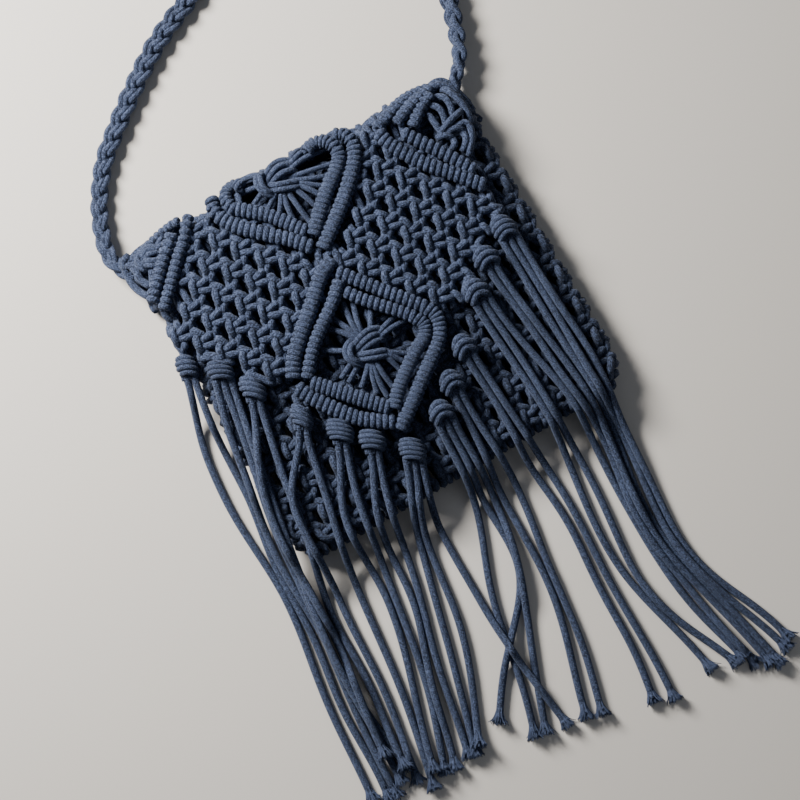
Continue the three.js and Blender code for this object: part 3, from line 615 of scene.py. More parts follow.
class BagSizes(bpy.types.PropertyGroup):
    """Sizes of the cords and knots"""

    cord_diameter: FloatProperty(
        name="Cord diameter", description="Thickness of the knotting cord",
        default=0.0049, unit="LENGTH",
    )
    knot_width: FloatProperty(
        name="Knot width", description="Distance between square knots in one row",
        default=0.022, unit="LENGTH",
    )
    knot_height: FloatProperty(
        name="Knot height", description="Distance between rows of square knots",
        default=0.0107, unit="LENGTH",
    )
    pouch_columns: IntProperty(
        name="Pouch columns", description="Square knots around the pouch", default=22,
    )
    pouch_rows: IntProperty(
        name="Pouch rows", description="Rows of square knots down the pouch", default=18,
    )
    braid_width: FloatProperty(
        name="Braid width", description="Width of the strap's flat braid",
        default=0.0135, unit="LENGTH",
    )
    braid_pitch: FloatProperty(
        name="Braid pitch", description="Length in which a strand of the braid comes back",
        default=0.037, unit="LENGTH",
    )
    fray_length: FloatProperty(
        name="Fray length", description="Length of the frayed end of a cord",
        default=0.0065, unit="LENGTH",
    )


class BagColours(bpy.types.PropertyGroup):
    """Colours of the cotton"""

    # Mixed by the plies' pattern, these two give painted shade in the grooves between the plies; mixed by the
    # strands and slow changes, they give the cotton's own uneven tone
    light: FloatVectorProperty(
        name="Light navy", description="Colour of the cord's raised fibres",
        default=(0.08, 0.11, 0.208), subtype="COLOR", min=0.0, max=1.0,
    )
    dark: FloatVectorProperty(
        name="Dark navy", description="Colour of the cord's grooves",
        default=(0.013, 0.019, 0.04), subtype="COLOR", min=0.0, max=1.0,
    )
    floor: FloatVectorProperty(
        name="Floor", description="Colour of the pale floor",
        default=(0.72, 0.7, 0.67), subtype="COLOR", min=0.0, max=1.0,
    )


def to_row(points):
    """Millimetres of the bag's frame as metres of the row frame."""
    return (np.asarray(points, float) + SHIFT) / MM


def unit(vectors):
    """The same directions with length 1."""
    return vectors / np.maximum(np.linalg.norm(vectors, axis=-1, keepdims=True), 1e-9)


def steps_of(points):
    """Lengths of the steps between the points of a line."""
    return np.linalg.norm(np.diff(points, axis=0), axis=1)


def walked_along(points):
    """Length from the first point of a line to each of its points."""
    return np.concatenate([[0], np.cumsum(steps_of(points))])


# Surfaces of the bag


def pouch_station(y):
    """Half width, half edge and crown of the pouch at y."""
    corner = np.clip((POUCH_FOOT_Y + POUCH_CORNER - y) / POUCH_CORNER, 0, 1)
    foot = np.clip((POUCH_FOOT_Y + POUCH_FOOT_ROUND - y) / POUCH_FOOT_ROUND, 0, POUCH_FOOT_LIMIT)
    crest = np.maximum(0, (POUCH_CREST_Y - y) / (POUCH_CREST_Y - POUCH_FOOT_Y))
    half_width = POUCH_HALF_WIDTH - POUCH_CORNER * (1 - np.sqrt(1 - POUCH_CORNER_DEPTH * corner ** 2))
    half_edge = POUCH_EDGE / 2 * np.sqrt(1 - foot ** 2)
    return half_width, half_edge, POUCH_CROWN * (1 - crest ** 2)


def rolled_edge(distance, radius):
    """Rise of a rounded edge at a distance from the side, as a share of its radius."""
    reach = np.clip(distance / radius, 0, 1)
    return np.sqrt(1 - (1 - reach) ** 2)


def crown_shape(share):
    """Share of the crown's height at a share of the half width."""
    return np.maximum(0, 1 - share * share) ** POUCH_CROWN_POWER


def pouch_top(x, y):
    """Height of the pouch's upper face, or 0 beside the pouch."""
    half_width, half_edge, crown = pouch_station(np.minimum(y, POUCH_MOUTH_Y))
    offset = np.abs(x - POUCH_CENTRE_X)
    rise = half_edge * rolled_edge(half_width - offset, half_edge)
    top = POUCH_EDGE / 2 + rise + crown * crown_shape(offset / half_width)
    return np.where((y < POUCH_FOOT_Y) | (offset >= half_width), 0.0, top)


def pouch_wall(around, y, inset):
    """Points and outward normals in the pouch's wall at shares of its girth, from the left over the front."""
    half_width, half_edge, crown = pouch_station(y)
    half_width = half_width - NET_SIDE_INSET * inset
    half_edge = np.maximum(WALL_EDGE_MIN, half_edge - inset)
    angles = np.linspace(0, 2 * np.pi, WALL_RING_POINTS)
    offset = -half_width * np.cos(angles)
    rise = half_edge * rolled_edge(half_width - np.abs(offset), half_edge)
    z = np.where(np.sin(angles) >= 0, rise + crown * crown_shape(offset / half_width), -rise)
    ring = np.stack([POUCH_CENTRE_X + offset, POUCH_EDGE / 2 + z], 1)
    walked = walked_along(ring)
    front = np.interp(np.pi, angles, walked)
    behind = FRONT_END + (walked - front) / (walked[-1] - front) / 2
    shares = np.where(walked < front, walked / front / 2, behind)

    def at(share):
        return np.stack([np.interp(share % 1, shares, ring[:, i]) for i in (0, 1)], -1)

    along = unit(at(around + WALL_NORMAL_STEP) - at(around - WALL_NORMAL_STEP))
    return at(around), np.stack([-along[..., 1], along[..., 0]], -1)


class PouchSheet:
    """Middle of the pouch's knotted wall, looked up by share of girth and by y."""

    def __init__(self):
        self.ys = np.linspace(POUCH_FOOT_Y + SHEET_FOOT_GAP, POUCH_MOUTH_Y + SHEET_MOUTH_GAP, SHEET_ROWS)
        self.shares = np.linspace(0, 1, SHEET_COLUMNS)
        rows = [pouch_wall(self.shares, y, NET_INSET) for y in self.ys]
        self.places = np.array([row[0] for row in rows])
        self.normals = np.array([row[1] for row in rows])

    def point(self, around, y, out):
        """Points at shares of the girth and at y, moved out of the wall."""
        row = np.clip((y - self.ys[0]) / (self.ys[1] - self.ys[0]), 0, len(self.ys) - SHEET_LAST_CELL)
        column = (around % 1) * (len(self.shares) - 1)
        r = np.floor(row).astype(int)
        c = np.minimum(np.floor(column).astype(int), len(self.shares) - 2)
        row_part = (row - r)[..., None]
        column_part = (column - c)[..., None]

        def blend(grid):
            low = grid[r, c] * (1 - column_part) + grid[r, c + 1] * column_part
            high = grid[r + 1, c] * (1 - column_part) + grid[r + 1, c + 1] * column_part
            return low * (1 - row_part) + high * row_part

        place = blend(self.places) + unit(blend(self.normals)) * out[..., None]
        return np.stack([place[..., 0], y, place[..., 1]], -1)


def flap_rest(x, y):
    """Height on which the flap lies."""
    half_width, _, crown = pouch_station(np.minimum(y, POUCH_MOUTH_Y))
    offset = np.abs(x - POUCH_CENTRE_X)
    overhang = np.maximum(0, (offset - POUCH_HALF_WIDTH) / FLAP_DROOP_WIDTH + 1)
    return POUCH_EDGE + crown * crown_shape(offset / half_width) - FLAP_DROOP * overhang ** 2


def fold_radius(x):
    """Radius of the flap's fold over the mouth."""
    return (flap_rest(x, np.full_like(x, POUCH_MOUTH_Y)) + FLAP_LIFT) / 2


def fold_start(x):
    """Place y at which the flap begins to turn over the mouth."""
    share = np.abs(x - POUCH_CENTRE_X) / POUCH_HALF_WIDTH
    return POUCH_MOUTH_Y + np.maximum(FOLD_END_MIN, FOLD_BULGE * (1 - share ** FOLD_BULGE_POWER))


def flap_plan(u, v):
    """Plan x, and y or arc length past the fold, of a point of the flap."""
    u = np.asarray(u, float)
    v = np.asarray(v, float)
    x = u * math.cos(FLAP_TURN) - v * math.sin(FLAP_TURN)
    return x, FLAP_PIVOT_Y + u * math.sin(FLAP_TURN) + v * math.cos(FLAP_TURN)


def flap_point(u, v, lift):
    """Point of the flap at (u, v), lifted out of the middle of its sheet."""
    x, reach = flap_plan(u, v)
    lift = np.broadcast_to(np.asarray(lift, float), x.shape)
    radius = fold_radius(x)
    start = fold_start(x)
    angle = np.clip((reach - start) / radius, 0, np.pi)
    back = np.maximum(0, reach - start - np.pi * radius)
    folded = reach > start
    front_z = flap_rest(x, reach) + FLAP_LIFT + FLAP_THICKNESS / 2
    middle_y = np.where(folded, start + FLAP_SPLIT + radius * np.sin(angle) - back, reach)
    middle_z = np.where(folded, FLAP_THICKNESS / 2 + radius + radius * np.cos(angle), front_z)
    y = middle_y + lift * np.sin(angle)
    z = middle_z + lift * np.cos(angle)
    return np.stack([x, y, z], -1)


def flap_back_end(x):
    """Reach at which the flap's sheet ends on the back."""
    return fold_start(x) + np.pi * fold_radius(x) + fold_start(x) - POUCH_MOUTH_Y


def fold_line(points):
    """Line along the flap, given by u and by how far the sheet has turned round the fold."""
    u, turn = np.array(points, float).T
    v = np.zeros(len(u))
    for _ in range(FOLD_LINE_ROUNDS):
        x, _ = flap_plan(u, v)
        reach = fold_start(x) + fold_radius(x) * turn
        v = (reach - FLAP_PIVOT_Y - u * math.sin(FLAP_TURN)) / math.cos(FLAP_TURN)
    return np.stack([u, v], -1)


def inside_outline(x, y, outline):
    """Whether a plan point is inside a closed outline."""
    inside = False
    for (ax, ay), (bx, by) in zip(outline, outline[1:] + outline[:1]):
        if (ay > y) != (by > y) and x < (bx - ax) * (y - ay) / (by - ay) + ax:
            inside = not inside
    return inside


# Cords


def padded_line(points):
    """The line with one more point straight on at each end."""
    points = np.asarray(points, float)
    return np.concatenate([[2 * points[0] - points[1]], points, [2 * points[-1] - points[-2]]])


def smooth_line(points, parts):
    """Rounded line through the points, with that many parts in each step."""
    padded = padded_line(points)
    t = np.linspace(0, 1, parts, endpoint=False)[None, :, None]
    a, b, c, d = (padded[i:len(padded) - 3 + i, None, :] for i in range(4))
    line = 0.5 * (
        2 * b + (c - a) * t + (2 * a - 5 * b + 4 * c - d) * t ** 2 + (3 * b - a - 3 * c + d) * t ** 3
    )
    return np.concatenate([line.reshape(-1, 3), padded[-2:-1]])


def even_line(points, count):
    """The same line with evenly spaced points."""
    walked = walked_along(points)
    at = np.linspace(0, walked[-1], count)
    return np.stack([np.interp(at, walked, points[:, i]) for i in range(3)], -1)


def slack_line(points, count):
    """Evenly spaced points of a line that rounds its turns by the distance between its points."""
    padded = padded_line(points)
    marks = np.concatenate([[0], np.cumsum(steps_of(padded) ** 0.5)])

    def between(first, second, start, end, t):
        return (end - t) / (end - start) * first + (t - start) / (end - start) * second

    pieces = []
    for i in range(len(padded) - 3):
        p = padded[i:i + 4]
        k = marks[i:i + 4]
        t = np.linspace(k[1], k[2], SLACK_PARTS)[:, None]
        a = [between(p[j], p[j + 1], k[j], k[j + 1], t) for j in range(3)]
        b = [between(a[j], a[j + 1], k[j], k[j + 2], t) for j in range(2)]
        pieces.append(between(b[0], b[1], k[1], k[2], t))
    return even_line(np.concatenate(pieces), count)


class CordMesh:
    """Collects cords as tubes with a UV map that runs around and along each of them."""

    def __init__(self):
        self.points = []
        self.faces = []
        self.uvs = []
        self.total = 0

    def carried(self, tangents):
        """A side direction carried along the tangents without twisting."""
        vectors = [Vector(t) for t in tangents]
        normals = [vectors[0].orthogonal().normalized()]
        for before, after in zip(vectors, vectors[1:]):
            normals.append(before.rotation_difference(after) @ normals[-1])
        return np.array(normals)

    def lay(self, line, radius, sides=CORD_SIDES, wide=None, flat=1.0):
        """Adds one cord along the line, closed at both ends; a flat cord is widest along wide."""
        line = np.asarray(line, float)
        moved = np.concatenate([[True], steps_of(line) > CORD_STEP_MIN])
        line = line[moved]
        count = len(line)
        radius = np.broadcast_to(np.asarray(radius, float), (count,))
        tangents = unit(np.gradient(line, axis=0))
        if wide is None:
            normals = self.carried(tangents)
        else:
            wide = wide[moved]
            normals = unit(wide - tangents * np.sum(wide * tangents, axis=1)[:, None])
        others = np.cross(tangents, normals) * flat
        angles = 2 * np.pi * np.arange(sides) / sides
        cosines = np.cos(angles)[None, :, None]
        sines = np.sin(angles)[None, :, None]
        ring = normals[:, None] * cosines + others[:, None] * sines
        points = line[:, None] + ring * radius[:, None, None]
        index = self.total + np.arange(count * sides).reshape(count, sides)
        following = np.roll(index, -1, axis=1)
        quads = np.stack([index[:-1], following[:-1], following[1:], index[1:]], -1).reshape(-1, 4)
        along = walked_along(line) / (2 * np.pi * radius.max())
        turn = np.arange(sides + 1) / sides
        u0 = np.broadcast_to(turn[None, :-1], (count - 1, sides))
        u1 = np.broadcast_to(turn[None, 1:], (count - 1, sides))
        v0 = np.broadcast_to(along[:-1, None], (count - 1, sides))
        v1 = np.broadcast_to(along[1:, None], (count - 1, sides))
        uv = np.stack([np.stack(pair, -1) for pair in ((u0, v0), (u1, v0), (u1, v1), (u0, v1))], 2)
        self.points.append(points.reshape(-1, 3))
        self.faces.extend(quads.tolist())
        self.uvs.append(uv.reshape(-1, 2))
        for cap, share in ((index[0][::-1], along[0]), (index[-1], along[-1])):
            self.faces.append(cap.tolist())
            self.uvs.append(np.stack([turn[:-1], np.full(sides, share)], -1))
        self.total += count * sides

    def finish(self, name, material, slot_name, *nodes):
        """Makes the piece, and lets it stand for its solids."""
        mesh = bpy.data.meshes.new(name)
        places = np.concatenate(self.points)
        places[:, 2] = np.maximum(places[:, 2], FLOOR_CLEARANCE)
        mesh.from_pydata(to_row(places).tolist(), [], self.faces)
        layer = mesh.uv_layers.new(name="CordUV")
        layer.data.foreach_set("uv", np.concatenate(self.uvs).astype(np.float32).ravel())
        mesh.polygons.foreach_set("use_smooth", np.ones(len(mesh.polygons), dtype=bool))
        mesh.materials.append(material)
        mesh.validate()
        mesh.update()
        piece = bpy.data.objects.new(name, mesh)
        bpy.context.scene.collection.objects.link(piece)
        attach(piece, "root")
        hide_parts(*nodes)
        return piece


# Cotton


def cotton(name):
    """Soft cotton cord: crossed plies and drawn strands on its UV map, fibres and slow colour changes; the
    plies also paint shade into the grooves between them.
    """
    found = bpy.data.materials.get(name)
    if found:
        return found
    colours = bpy.context.scene.bag_colours
    tone = COTTON_TONES[name]
    material = bpy.data.materials.new(name)
    material.use_nodes = True
    nodes = material.node_tree.nodes
    links = material.node_tree.links
    shader = nodes["Principled BSDF"]
    for socket, value in COTTON_SURFACE.items():
        shader.inputs[socket].default_value = value

    def step(operation, first, second, third=0.0):
        """One sum of values and sockets."""
        node = nodes.new("ShaderNodeMath")
        node.operation = operation
        for socket, value in zip(node.inputs, (first, second, third)):
            if isinstance(value, (int, float)):
                socket.default_value = value
            else:
                links.new(value, socket)
        return node.outputs[0]

    def noise(look, vector):
        """Noise of a scale and detail."""
        node = nodes.new("ShaderNodeTexNoise")
        node.inputs["Scale"].default_value, node.inputs["Detail"].default_value = look
        links.new(vector, node.inputs["Vector"])
        return node.outputs["Fac"]

    place = nodes.new("ShaderNodeTexCoord")
    split = nodes.new("ShaderNodeSeparateXYZ")
    links.new(place.outputs["UV"], split.inputs[0])
    around = split.outputs["X"]
    along = split.outputs["Y"]
    slow = noise(SLOW_NOISE, place.outputs["Object"])
    fibres = noise(FIBRE_NOISE, place.outputs["Object"])
    drawn = nodes.new("ShaderNodeCombineXYZ")
    twist = step("MULTIPLY", along, STRAND_TWIST)
    links.new(step("MULTIPLY_ADD", around, STRANDS_AROUND, twist), drawn.inputs["X"])
    links.new(step("MULTIPLY", along, STRANDS_ALONG), drawn.inputs["Y"])
    links.new(step("MULTIPLY", slow, STRAND_CHANGE), drawn.inputs["Z"])
    strands = noise(STRAND_NOISE, drawn.outputs["Vector"])
    lengthwise = step("MULTIPLY", along, 2 * math.pi * PLIES_ALONG)
    plies = [
        step("SINE", step("MULTIPLY_ADD", around, turn * 2 * math.pi * PLIES_AROUND, lengthwise), 0.0)
        for turn in (-1, 1)
    ]
    crossed = step("MULTIPLY_ADD", step("MULTIPLY", *plies), 0.5, 0.5)
    speckle = step("MULTIPLY_ADD", strands, *SPECKLE)
    # The plies' share in the colour is painted shade in the grooves between them
    blend = step("MULTIPLY_ADD", crossed, PLY_PAINTED_SHADE, step("MULTIPLY_ADD", slow, SLOW_TINT, speckle))
    mix = nodes.new("ShaderNodeMix")
    mix.data_type = "RGBA"
    links.new(blend, mix.inputs["Factor"])
    mix.inputs["A"].default_value = (*[c * tone for c in colours.dark], 1)
    mix.inputs["B"].default_value = (*[c * tone for c in colours.light], 1)
    links.new(mix.outputs["Result"], shader.inputs["Base Color"])
    loose = step("MULTIPLY_ADD", strands, STRAND_BUMP, step("MULTIPLY", fibres, FIBRE_BUMP))
    bump = nodes.new("ShaderNodeBump")
    bump.inputs["Strength"].default_value = BUMP_STRENGTH
    bump.inputs["Distance"].default_value = BUMP_DEPTH
    links.new(step("MULTIPLY_ADD", crossed, PLY_BUMP, loose), bump.inputs["Height"])
    links.new(bump.outputs["Normal"], shader.inputs["Normal"])
    return material


# Fringe


def knot_place(index):
    """Middle of a gathering knot, which rests on the pouch."""
    u, v = KNOTS[index - 1]
    x, y = flap_plan(u, v)
    z = float(pouch_top(x, y)) + KNOT_RADIUS * KNOT_SINK + KNOT_REST
    return np.array([float(x), float(y), z])


def knot_hang(index):
    """Direction in which a gathering knot hangs: the mean of its cords."""
    place = knot_place(index)
    ways = [np.array([cord[1] - place[0], cord[2] - place[1], 0.0]) for cord in CORDS if cord[0] == index]
    return unit(np.sum(unit(np.array(ways)), axis=0))


def cord_rest(points):
    """Height on which a cord rests: it clears the pouch's edge before it falls."""
    rest = np.zeros(len(points))
    for dx in (-CORD_CLEARANCE, 0, CORD_CLEARANCE):
        for dy in (-CORD_CLEARANCE, 0, CORD_CLEARANCE):
            rest = np.maximum(rest, pouch_top(points[:, 0] + dx, points[:, 1] + dy))
    return rest


def sway(points, index):
    """Lets a cord wave a little to its sides below its knot."""
    walked = walked_along(points)
    ways = unit(np.gradient(points, axis=0))
    aside = np.stack([-ways[:, 1], ways[:, 0], ways[:, 2]], -1)
    length = FRINGE_WAVE * (1 + FRINGE_WAVE_CHANGE * math.sin(FRINGE_WAVE_STEP * index))
    wave = np.sin(2 * np.pi * walked / length + FRINGE_PHASE_STEP * index)
    share = np.clip(walked / walked[-1] / FRINGE_SWAY_FULL, 0, 1)
    return points + aside * (FRINGE_SWAY * wave * share)[:, None]


def lay_cords():
    """Lays the fringe down, each cord on the pouch, the floor or earlier cords."""
    laid = []
    used = {}
    for knot, over_x, over_y, mid_x, mid_y, end_x, end_y in CORDS:
        rank = used.get(knot, 0)
        used[knot] = rank + 1
        count = sum(1 for cord in CORDS if cord[0] == knot)
        place = knot_place(knot)
        hang = knot_hang(knot)
        side = np.array([-hang[1], hang[0], 0.0])
        spread = (rank - (count - 1) / 2) * CORD_PITCH
        starts = [place + hang * KNOT_LENGTH * share + side * spread for share in KNOT_EXIT]
        flat = [(start[0], start[1], 0) for start in starts]
        flat += [(over_x, over_y, 0), (mid_x, mid_y, 0), (end_x, end_y, 0)]
        points = sway(slack_line(flat, CORD_SAMPLES), len(laid))
        support = cord_rest(points) + CORD_REST / 2 + PRESS_GAP
        support[:CORD_HELD] = place[2] - CORD_HELD_FALL * np.arange(CORD_HELD)
        for _, other in laid:
            apart = np.linalg.norm(points[:, None, :2] - other[None, :, :2], axis=2)
            over = other[None, :, 2] + np.sqrt(np.maximum(0, CORD_PITCH ** 2 - apart ** 2))
            near = np.where(apart < CORD_PITCH, over, 0).max(axis=1)
            near[:CORD_TOGETHER] = 0
            support = np.maximum(support, near)
        step = np.linalg.norm(points[1] - points[0])
        away = np.abs(np.arange(CORD_SAMPLES)[:, None] - np.arange(CORD_SAMPLES)[None, :])
        points[:, 2] = (support[None, :] - CORD_FALL * step * away).max(axis=1)
        laid.append((knot, points))
    return laid


def settle(points):
    """Rounds the kinks out of a laid cord without lowering its highest points much."""
    z = points[:, 2].copy()
    for _ in range(SETTLE_ROUNDS):
        z[1:-1] = np.maximum(points[1:-1, 2] - SETTLE_SINK, (z[:-2] + 2 * z[1:-1] + z[2:]) / 4)
    return np.column_stack([points[:, :2], z])


def fray(cords, fibres, end, way, length, random):
    """Frayed end of a cord: it opens like a brush, with loose fibres over and past its rim."""
    side = unit(np.cross(way, [0, 0, 1.0]))
    up = np.cross(side, way)

    def at(share):
        return end + way * ((1 + FRAY_INSIDE) * share - FRAY_INSIDE) * length

    def opened(share):
        return FRINGE_RADIUS * (1 + FRAY_OPENING * share ** 2)

    shares = np.linspace(0, FRAY_CORE, FRAY_CORE_POINTS)
    cords.lay(at(shares[:, None]), opened(shares) * FRAY_CORE_WIDTH, FRAY_CORE_SIDES)
    for _ in range(FRAY_FIBRES):
        angle = random.uniform(0, 2 * math.pi)
        spoke = side * math.cos(angle) + up * math.sin(angle)
        rim = math.sqrt(random.uniform(*FIBRE_ACROSS))
        tip = at(1) + way * random.uniform(*FIBRE_PAST)
        tip = tip + spoke * opened(1) * rim * random.uniform(*FIBRE_SPREAD)
        tip = tip + side * random.uniform(*FIBRE_ASIDE) + up * random.uniform(*FIBRE_UP)
        root = random.uniform(*FIBRE_ROOT)
        path = zip((root, (root + FIBRE_FREE) / 2, FIBRE_FREE), FIBRE_DEPTHS)
        line = np.array([*(at(share) + spoke * opened(share) * rim * depth for share, depth in path), tip])
        line[:, 2] = np.maximum(line[:, 2], FRAY_FIBRE)
        fibre = smooth_line(line, parts=2)
        fibres.lay(fibre, np.linspace(1, FIBRE_TIP, len(fibre)) * FRAY_FIBRE, FIBRE_SIDES)


# Square knots


def knot_middle(row, column):
    """Middle of a knot in knot widths: every other row lies half a width aside."""
    return column + (0.5 if row % 2 == 0 else 0.0)


def beside(row, column, side, step, columns):
    """The knot half a width to one side, in the row below or above."""
    shift = (0 if side < 0 else 1) if row % 2 == 0 else (-1 if side < 0 else 0)
    column = column + shift
    return row + step, column % columns if columns else column


def knot_runs(kept, columns=0):
    """Runs of cord through the kept knots: row, column, middle in knot widths, and place in the knot.

    At a side edge the cords skip a row and go on in the knot below.
    """
    runs = []
    for row, column in sorted(kept):
        for place in KNOT_PATHS:
            above = beside(row, column, KNOT_FROM[place], -1, columns)
            if above in kept or (row - 2, column) in kept:
                continue
            at = (row, column)
            middle = knot_middle(row, column)
            run = []
            while True:
                run.append((*at, middle, place))
                place_next, side = KNOT_NEXT[place]
                following = beside(*at, side, 1, columns)
                if following in kept:
                    at = following
                    middle = middle + side / 2
                    place = place_next
                elif (at[0] + 2, at[1]) in kept:
                    at = (at[0] + 2, at[1])
                else:
                    break
            runs.append(run)
    return runs


def knot_shakes(kept, random):
    """Small differences between the knots: shift across, shift up, turn."""
    return {key: random.normal(0, 1, 3) * KNOT_SHAKE for key in sorted(kept)}


def run_points(run, shakes):
    """Points of a run of knots: across and down in units of the template, and out of the sheet."""
    line = []
    for row, column, middle, place in run:
        shape = np.array(KNOT_PATHS[place], float)
        across, rise, turn = shakes[(row, column)]
        cosine = math.cos(turn)
        sine = math.sin(turn)
        turned = shape[1:-1, :2] @ np.array([[cosine, sine], [-sine, cosine]])
        shape[1:-1, :2] = turned + [across, rise]
        shape = shape + [middle * KNOT_WIDTH, -(row + 0.5) * KNOT_HEIGHT, 0]
        line.append(shape if not line else shape[1:])
    return np.concatenate(line)


class BAG_OT_stage(bpy.types.Operator):
    """Adds the pale floor, the soft studio light and the camera"""

    bl_idname = "bag.stage"
    bl_label = "Stage"

    def execute(self, context):
        aim = Vector(to_row(CAMERA_AIM))
        up_plan = Vector((math.sin(CAMERA_ROLL), math.cos(CAMERA_ROLL), 0))
        right = Vector((math.cos(CAMERA_ROLL), -math.sin(CAMERA_ROLL), 0))
        look = up_plan * math.cos(CAMERA_LOOK_DOWN) - Vector((0, 0, math.sin(CAMERA_LOOK_DOWN)))
        up = up_plan * math.sin(CAMERA_LOOK_DOWN) + Vector((0, 0, math.cos(CAMERA_LOOK_DOWN)))
        data = bpy.data.cameras.new("camera")
        data.lens = CAMERA_LENS
        data.sensor_width = CAMERA_SENSOR
        data.clip_end = CAMERA_CLIP
        camera = bpy.data.objects.new("camera", data)
        turn = Matrix((right, up, -look)).transposed().to_4x4()
        camera.matrix_world = Matrix.Translation(aim - look * CAMERA_DISTANCE) @ turn
        context.scene.collection.objects.link(camera)
        context.scene.camera = camera
        self.floor(context)
        for lamp in LAMPS:
            self.light(context, aim, *lamp)
        world = bpy.data.worlds.new("studio")
        world.use_nodes = True
        world.node_tree.nodes["Background"].inputs["Color"].default_value = STUDIO_COLOUR
        world.node_tree.nodes["Background"].inputs["Strength"].default_value = STUDIO_STRENGTH
        context.scene.world = world
        return {"FINISHED"}

    def floor(self, context):
        """Plain pale floor under the bag."""
        mesh = bpy.data.meshes.new("floor")
        square = bmesh.new()
        bmesh.ops.create_grid(square, x_segments=1, y_segments=1, size=FLOOR_HALF_SIZE)
        square.to_mesh(mesh)
        square.free()
        material = bpy.data.materials.new("pale_floor")
        material.use_nodes = True
        shader = material.node_tree.nodes["Principled BSDF"]
        shader.inputs["Base Color"].default_value = (*context.scene.bag_colours.floor, 1)
        shader.inputs["Roughness"].default_value = FLOOR_ROUGHNESS
        mesh.materials.append(material)
        floor = bpy.data.objects.new("floor", mesh)
        context.scene.collection.objects.link(floor)

    def light(self, context, aim, name, way, distance, size, power, colour):
        """Soft square lamp that faces the bag."""
        data = bpy.data.lights.new(name, "AREA")
        data.size = size
        data.energy = power
        data.color = colour
        lamp = bpy.data.objects.new(name, data)
        direction = Vector(way).normalized()
        turn = direction.to_track_quat("Z", "Y").to_matrix().to_4x4()
        lamp.matrix_world = Matrix.Translation(aim + direction * distance) @ turn
        context.scene.collection.objects.link(lamp)


class BAG_OT_strap(bpy.types.Operator):
    """Braids the strap from three pairs of cords along its route"""

    bl_idname = "bag.strap"
    bl_label = "Strap"

    def execute(self, context):
        sizes = context.scene.bag_sizes
        pitch = sizes.braid_pitch * MM
        route = slack_line([STRAP_TIE_LEFT, *STRAP_ROUTE[:-1], STRAP_LAST, STRAP_TIE_RIGHT], STRAP_SAMPLES)
        length = steps_of(route).sum()
        tangents = unit(np.gradient(route, axis=0))
        sides = unit(np.cross([0, 0, 1.0], tangents))
        ups = np.cross(tangents, sides)
        share = np.linspace(0, 1, len(route))
        turn = np.clip((share - STRAP_TURN_FROM) / (1 - STRAP_TURN_FROM), 0, 1)
        turn = turn * turn * (3 - 2 * turn) * math.pi / 2
        wide = sides * np.cos(turn)[:, None] + ups * np.sin(turn)[:, None]
        thin = np.cross(tangents, wide)
        narrow = STRAP_NARROW + (1 - STRAP_NARROW) * np.clip(share * length / STRAP_NARROW_LENGTH, 0, 1)
        radius = STRAP_CORD * (STRAP_CORD_STAYS + (1 - STRAP_CORD_STAYS) * narrow)
        cords = CordMesh()
        for strand in range(STRAP_STRANDS):
            phase = 2 * math.pi * (share * length / pitch + strand / STRAP_STRANDS)
            across = STRAP_SWAY * np.sin(phase)
            rise = STRAP_RISE * np.sin(2 * phase)
            lean = unit(np.stack([np.gradient(across), np.gradient(share * length)], -1))
            for pair in (-1, 1):
                aside = across + pair * STRAP_PAIR * lean[:, 1]
                along = -pair * STRAP_PAIR * lean[:, 0]
                line = route + wide * (aside * narrow)[:, None] + thin * (rise * narrow)[:, None]
                cords.lay(line + tangents * along[:, None], radius, FINE_SIDES)
        piece = cords.finish("strap_braid", cotton("braided_cotton"), "braid", "strap")
        return {"FINISHED"}


class BAG_OT_pouch(bpy.types.Operator):
    """Knots the pouch's front and back from alternating square knots"""

    bl_idname = "bag.pouch"
    bl_label = "Pouch"

    def execute(self, context):
        radius = context.scene.bag_sizes.cord_diameter * MM / 2
        sides = self.net_lines(context.scene.bag_sizes, radius)
        back_ends = sorted((line[-1] for line in sides["back"]), key=lambda end: end[0])
        for side, lines in sides.items():
            cords = CordMesh()
            lines.sort(key=lambda line: line[-1][0])
            for i, line in enumerate(lines):
                path = smooth_line(line, parts=2)
                if side == "front":
                    back = back_ends[min(i * len(back_ends) // len(lines), len(back_ends) - 1)]
                    path = np.concatenate([path, self.turned(line[-1], back, FOOT_TURN)[1:]])
                cords.lay(path, radius)
            starts = sorted((line[0] for line in lines), key=lambda start: start[0])
            for left, right in zip(starts[0::2], starts[1::2]):
                cords.lay(self.turned(left, right, MOUTH_TURN), radius)
            # The pouch's cotton is the same cord made darker, as painted shade
            cords.finish(f"pouch_{side}_net", cotton("pouch_cotton_painted_shade"), "net", "pouch")
        return {"FINISHED"}

    def net_lines(self, sizes, radius):
        """Lines of the net's cords on the front and on the back."""
        columns = sizes.pouch_columns
        top = POUCH_MOUTH_Y + POUCH_NET_OVER[0]
        tall = (top - POUCH_FOOT_Y - POUCH_NET_FOOT_GAP) / sizes.pouch_rows
        sheet = PouchSheet()
        kept = {(row, column) for row in range(sizes.pouch_rows) for column in range(columns)}
        shakes = knot_shakes(kept, np.random.default_rng(SEED))
        sides = {"front": [], "back": []}
        for run in knot_runs(kept, columns):
            points = run_points(run, shakes)
            around = points[:, 0] / KNOT_WIDTH / columns
            behind = (1 - np.cos(2 * np.pi * (around - FRONT_MIDDLE))) / 2
            over = behind * (POUCH_NET_OVER[1] - POUCH_NET_OVER[0])
            y = top + points[:, 1] / KNOT_HEIGHT * tall
            y = y + over * np.clip((y - POUCH_CREST_Y) / (top - POUCH_CREST_Y), 0, 1)
            out = points[:, 2] * np.where(points[:, 2] < 0, POUCH_INNER_PRESS, 1.0)
            line = sheet.point(around, y, out)
            line[:, 2] = np.maximum(line[:, 2], radius + FLOOR_CLEARANCE)
            sides["front" if around[0] % 1 < FRONT_END else "back"].append(line)
        return sides

    def turned(self, first, second, out):
        """A cord that leaves the net, turns round and comes back."""
        middle = (first + second) / 2
        shoulder = out * TURN_SHOULDER
        return smooth_line([first, first + shoulder, middle + out, second + shoulder, second], parts=3)


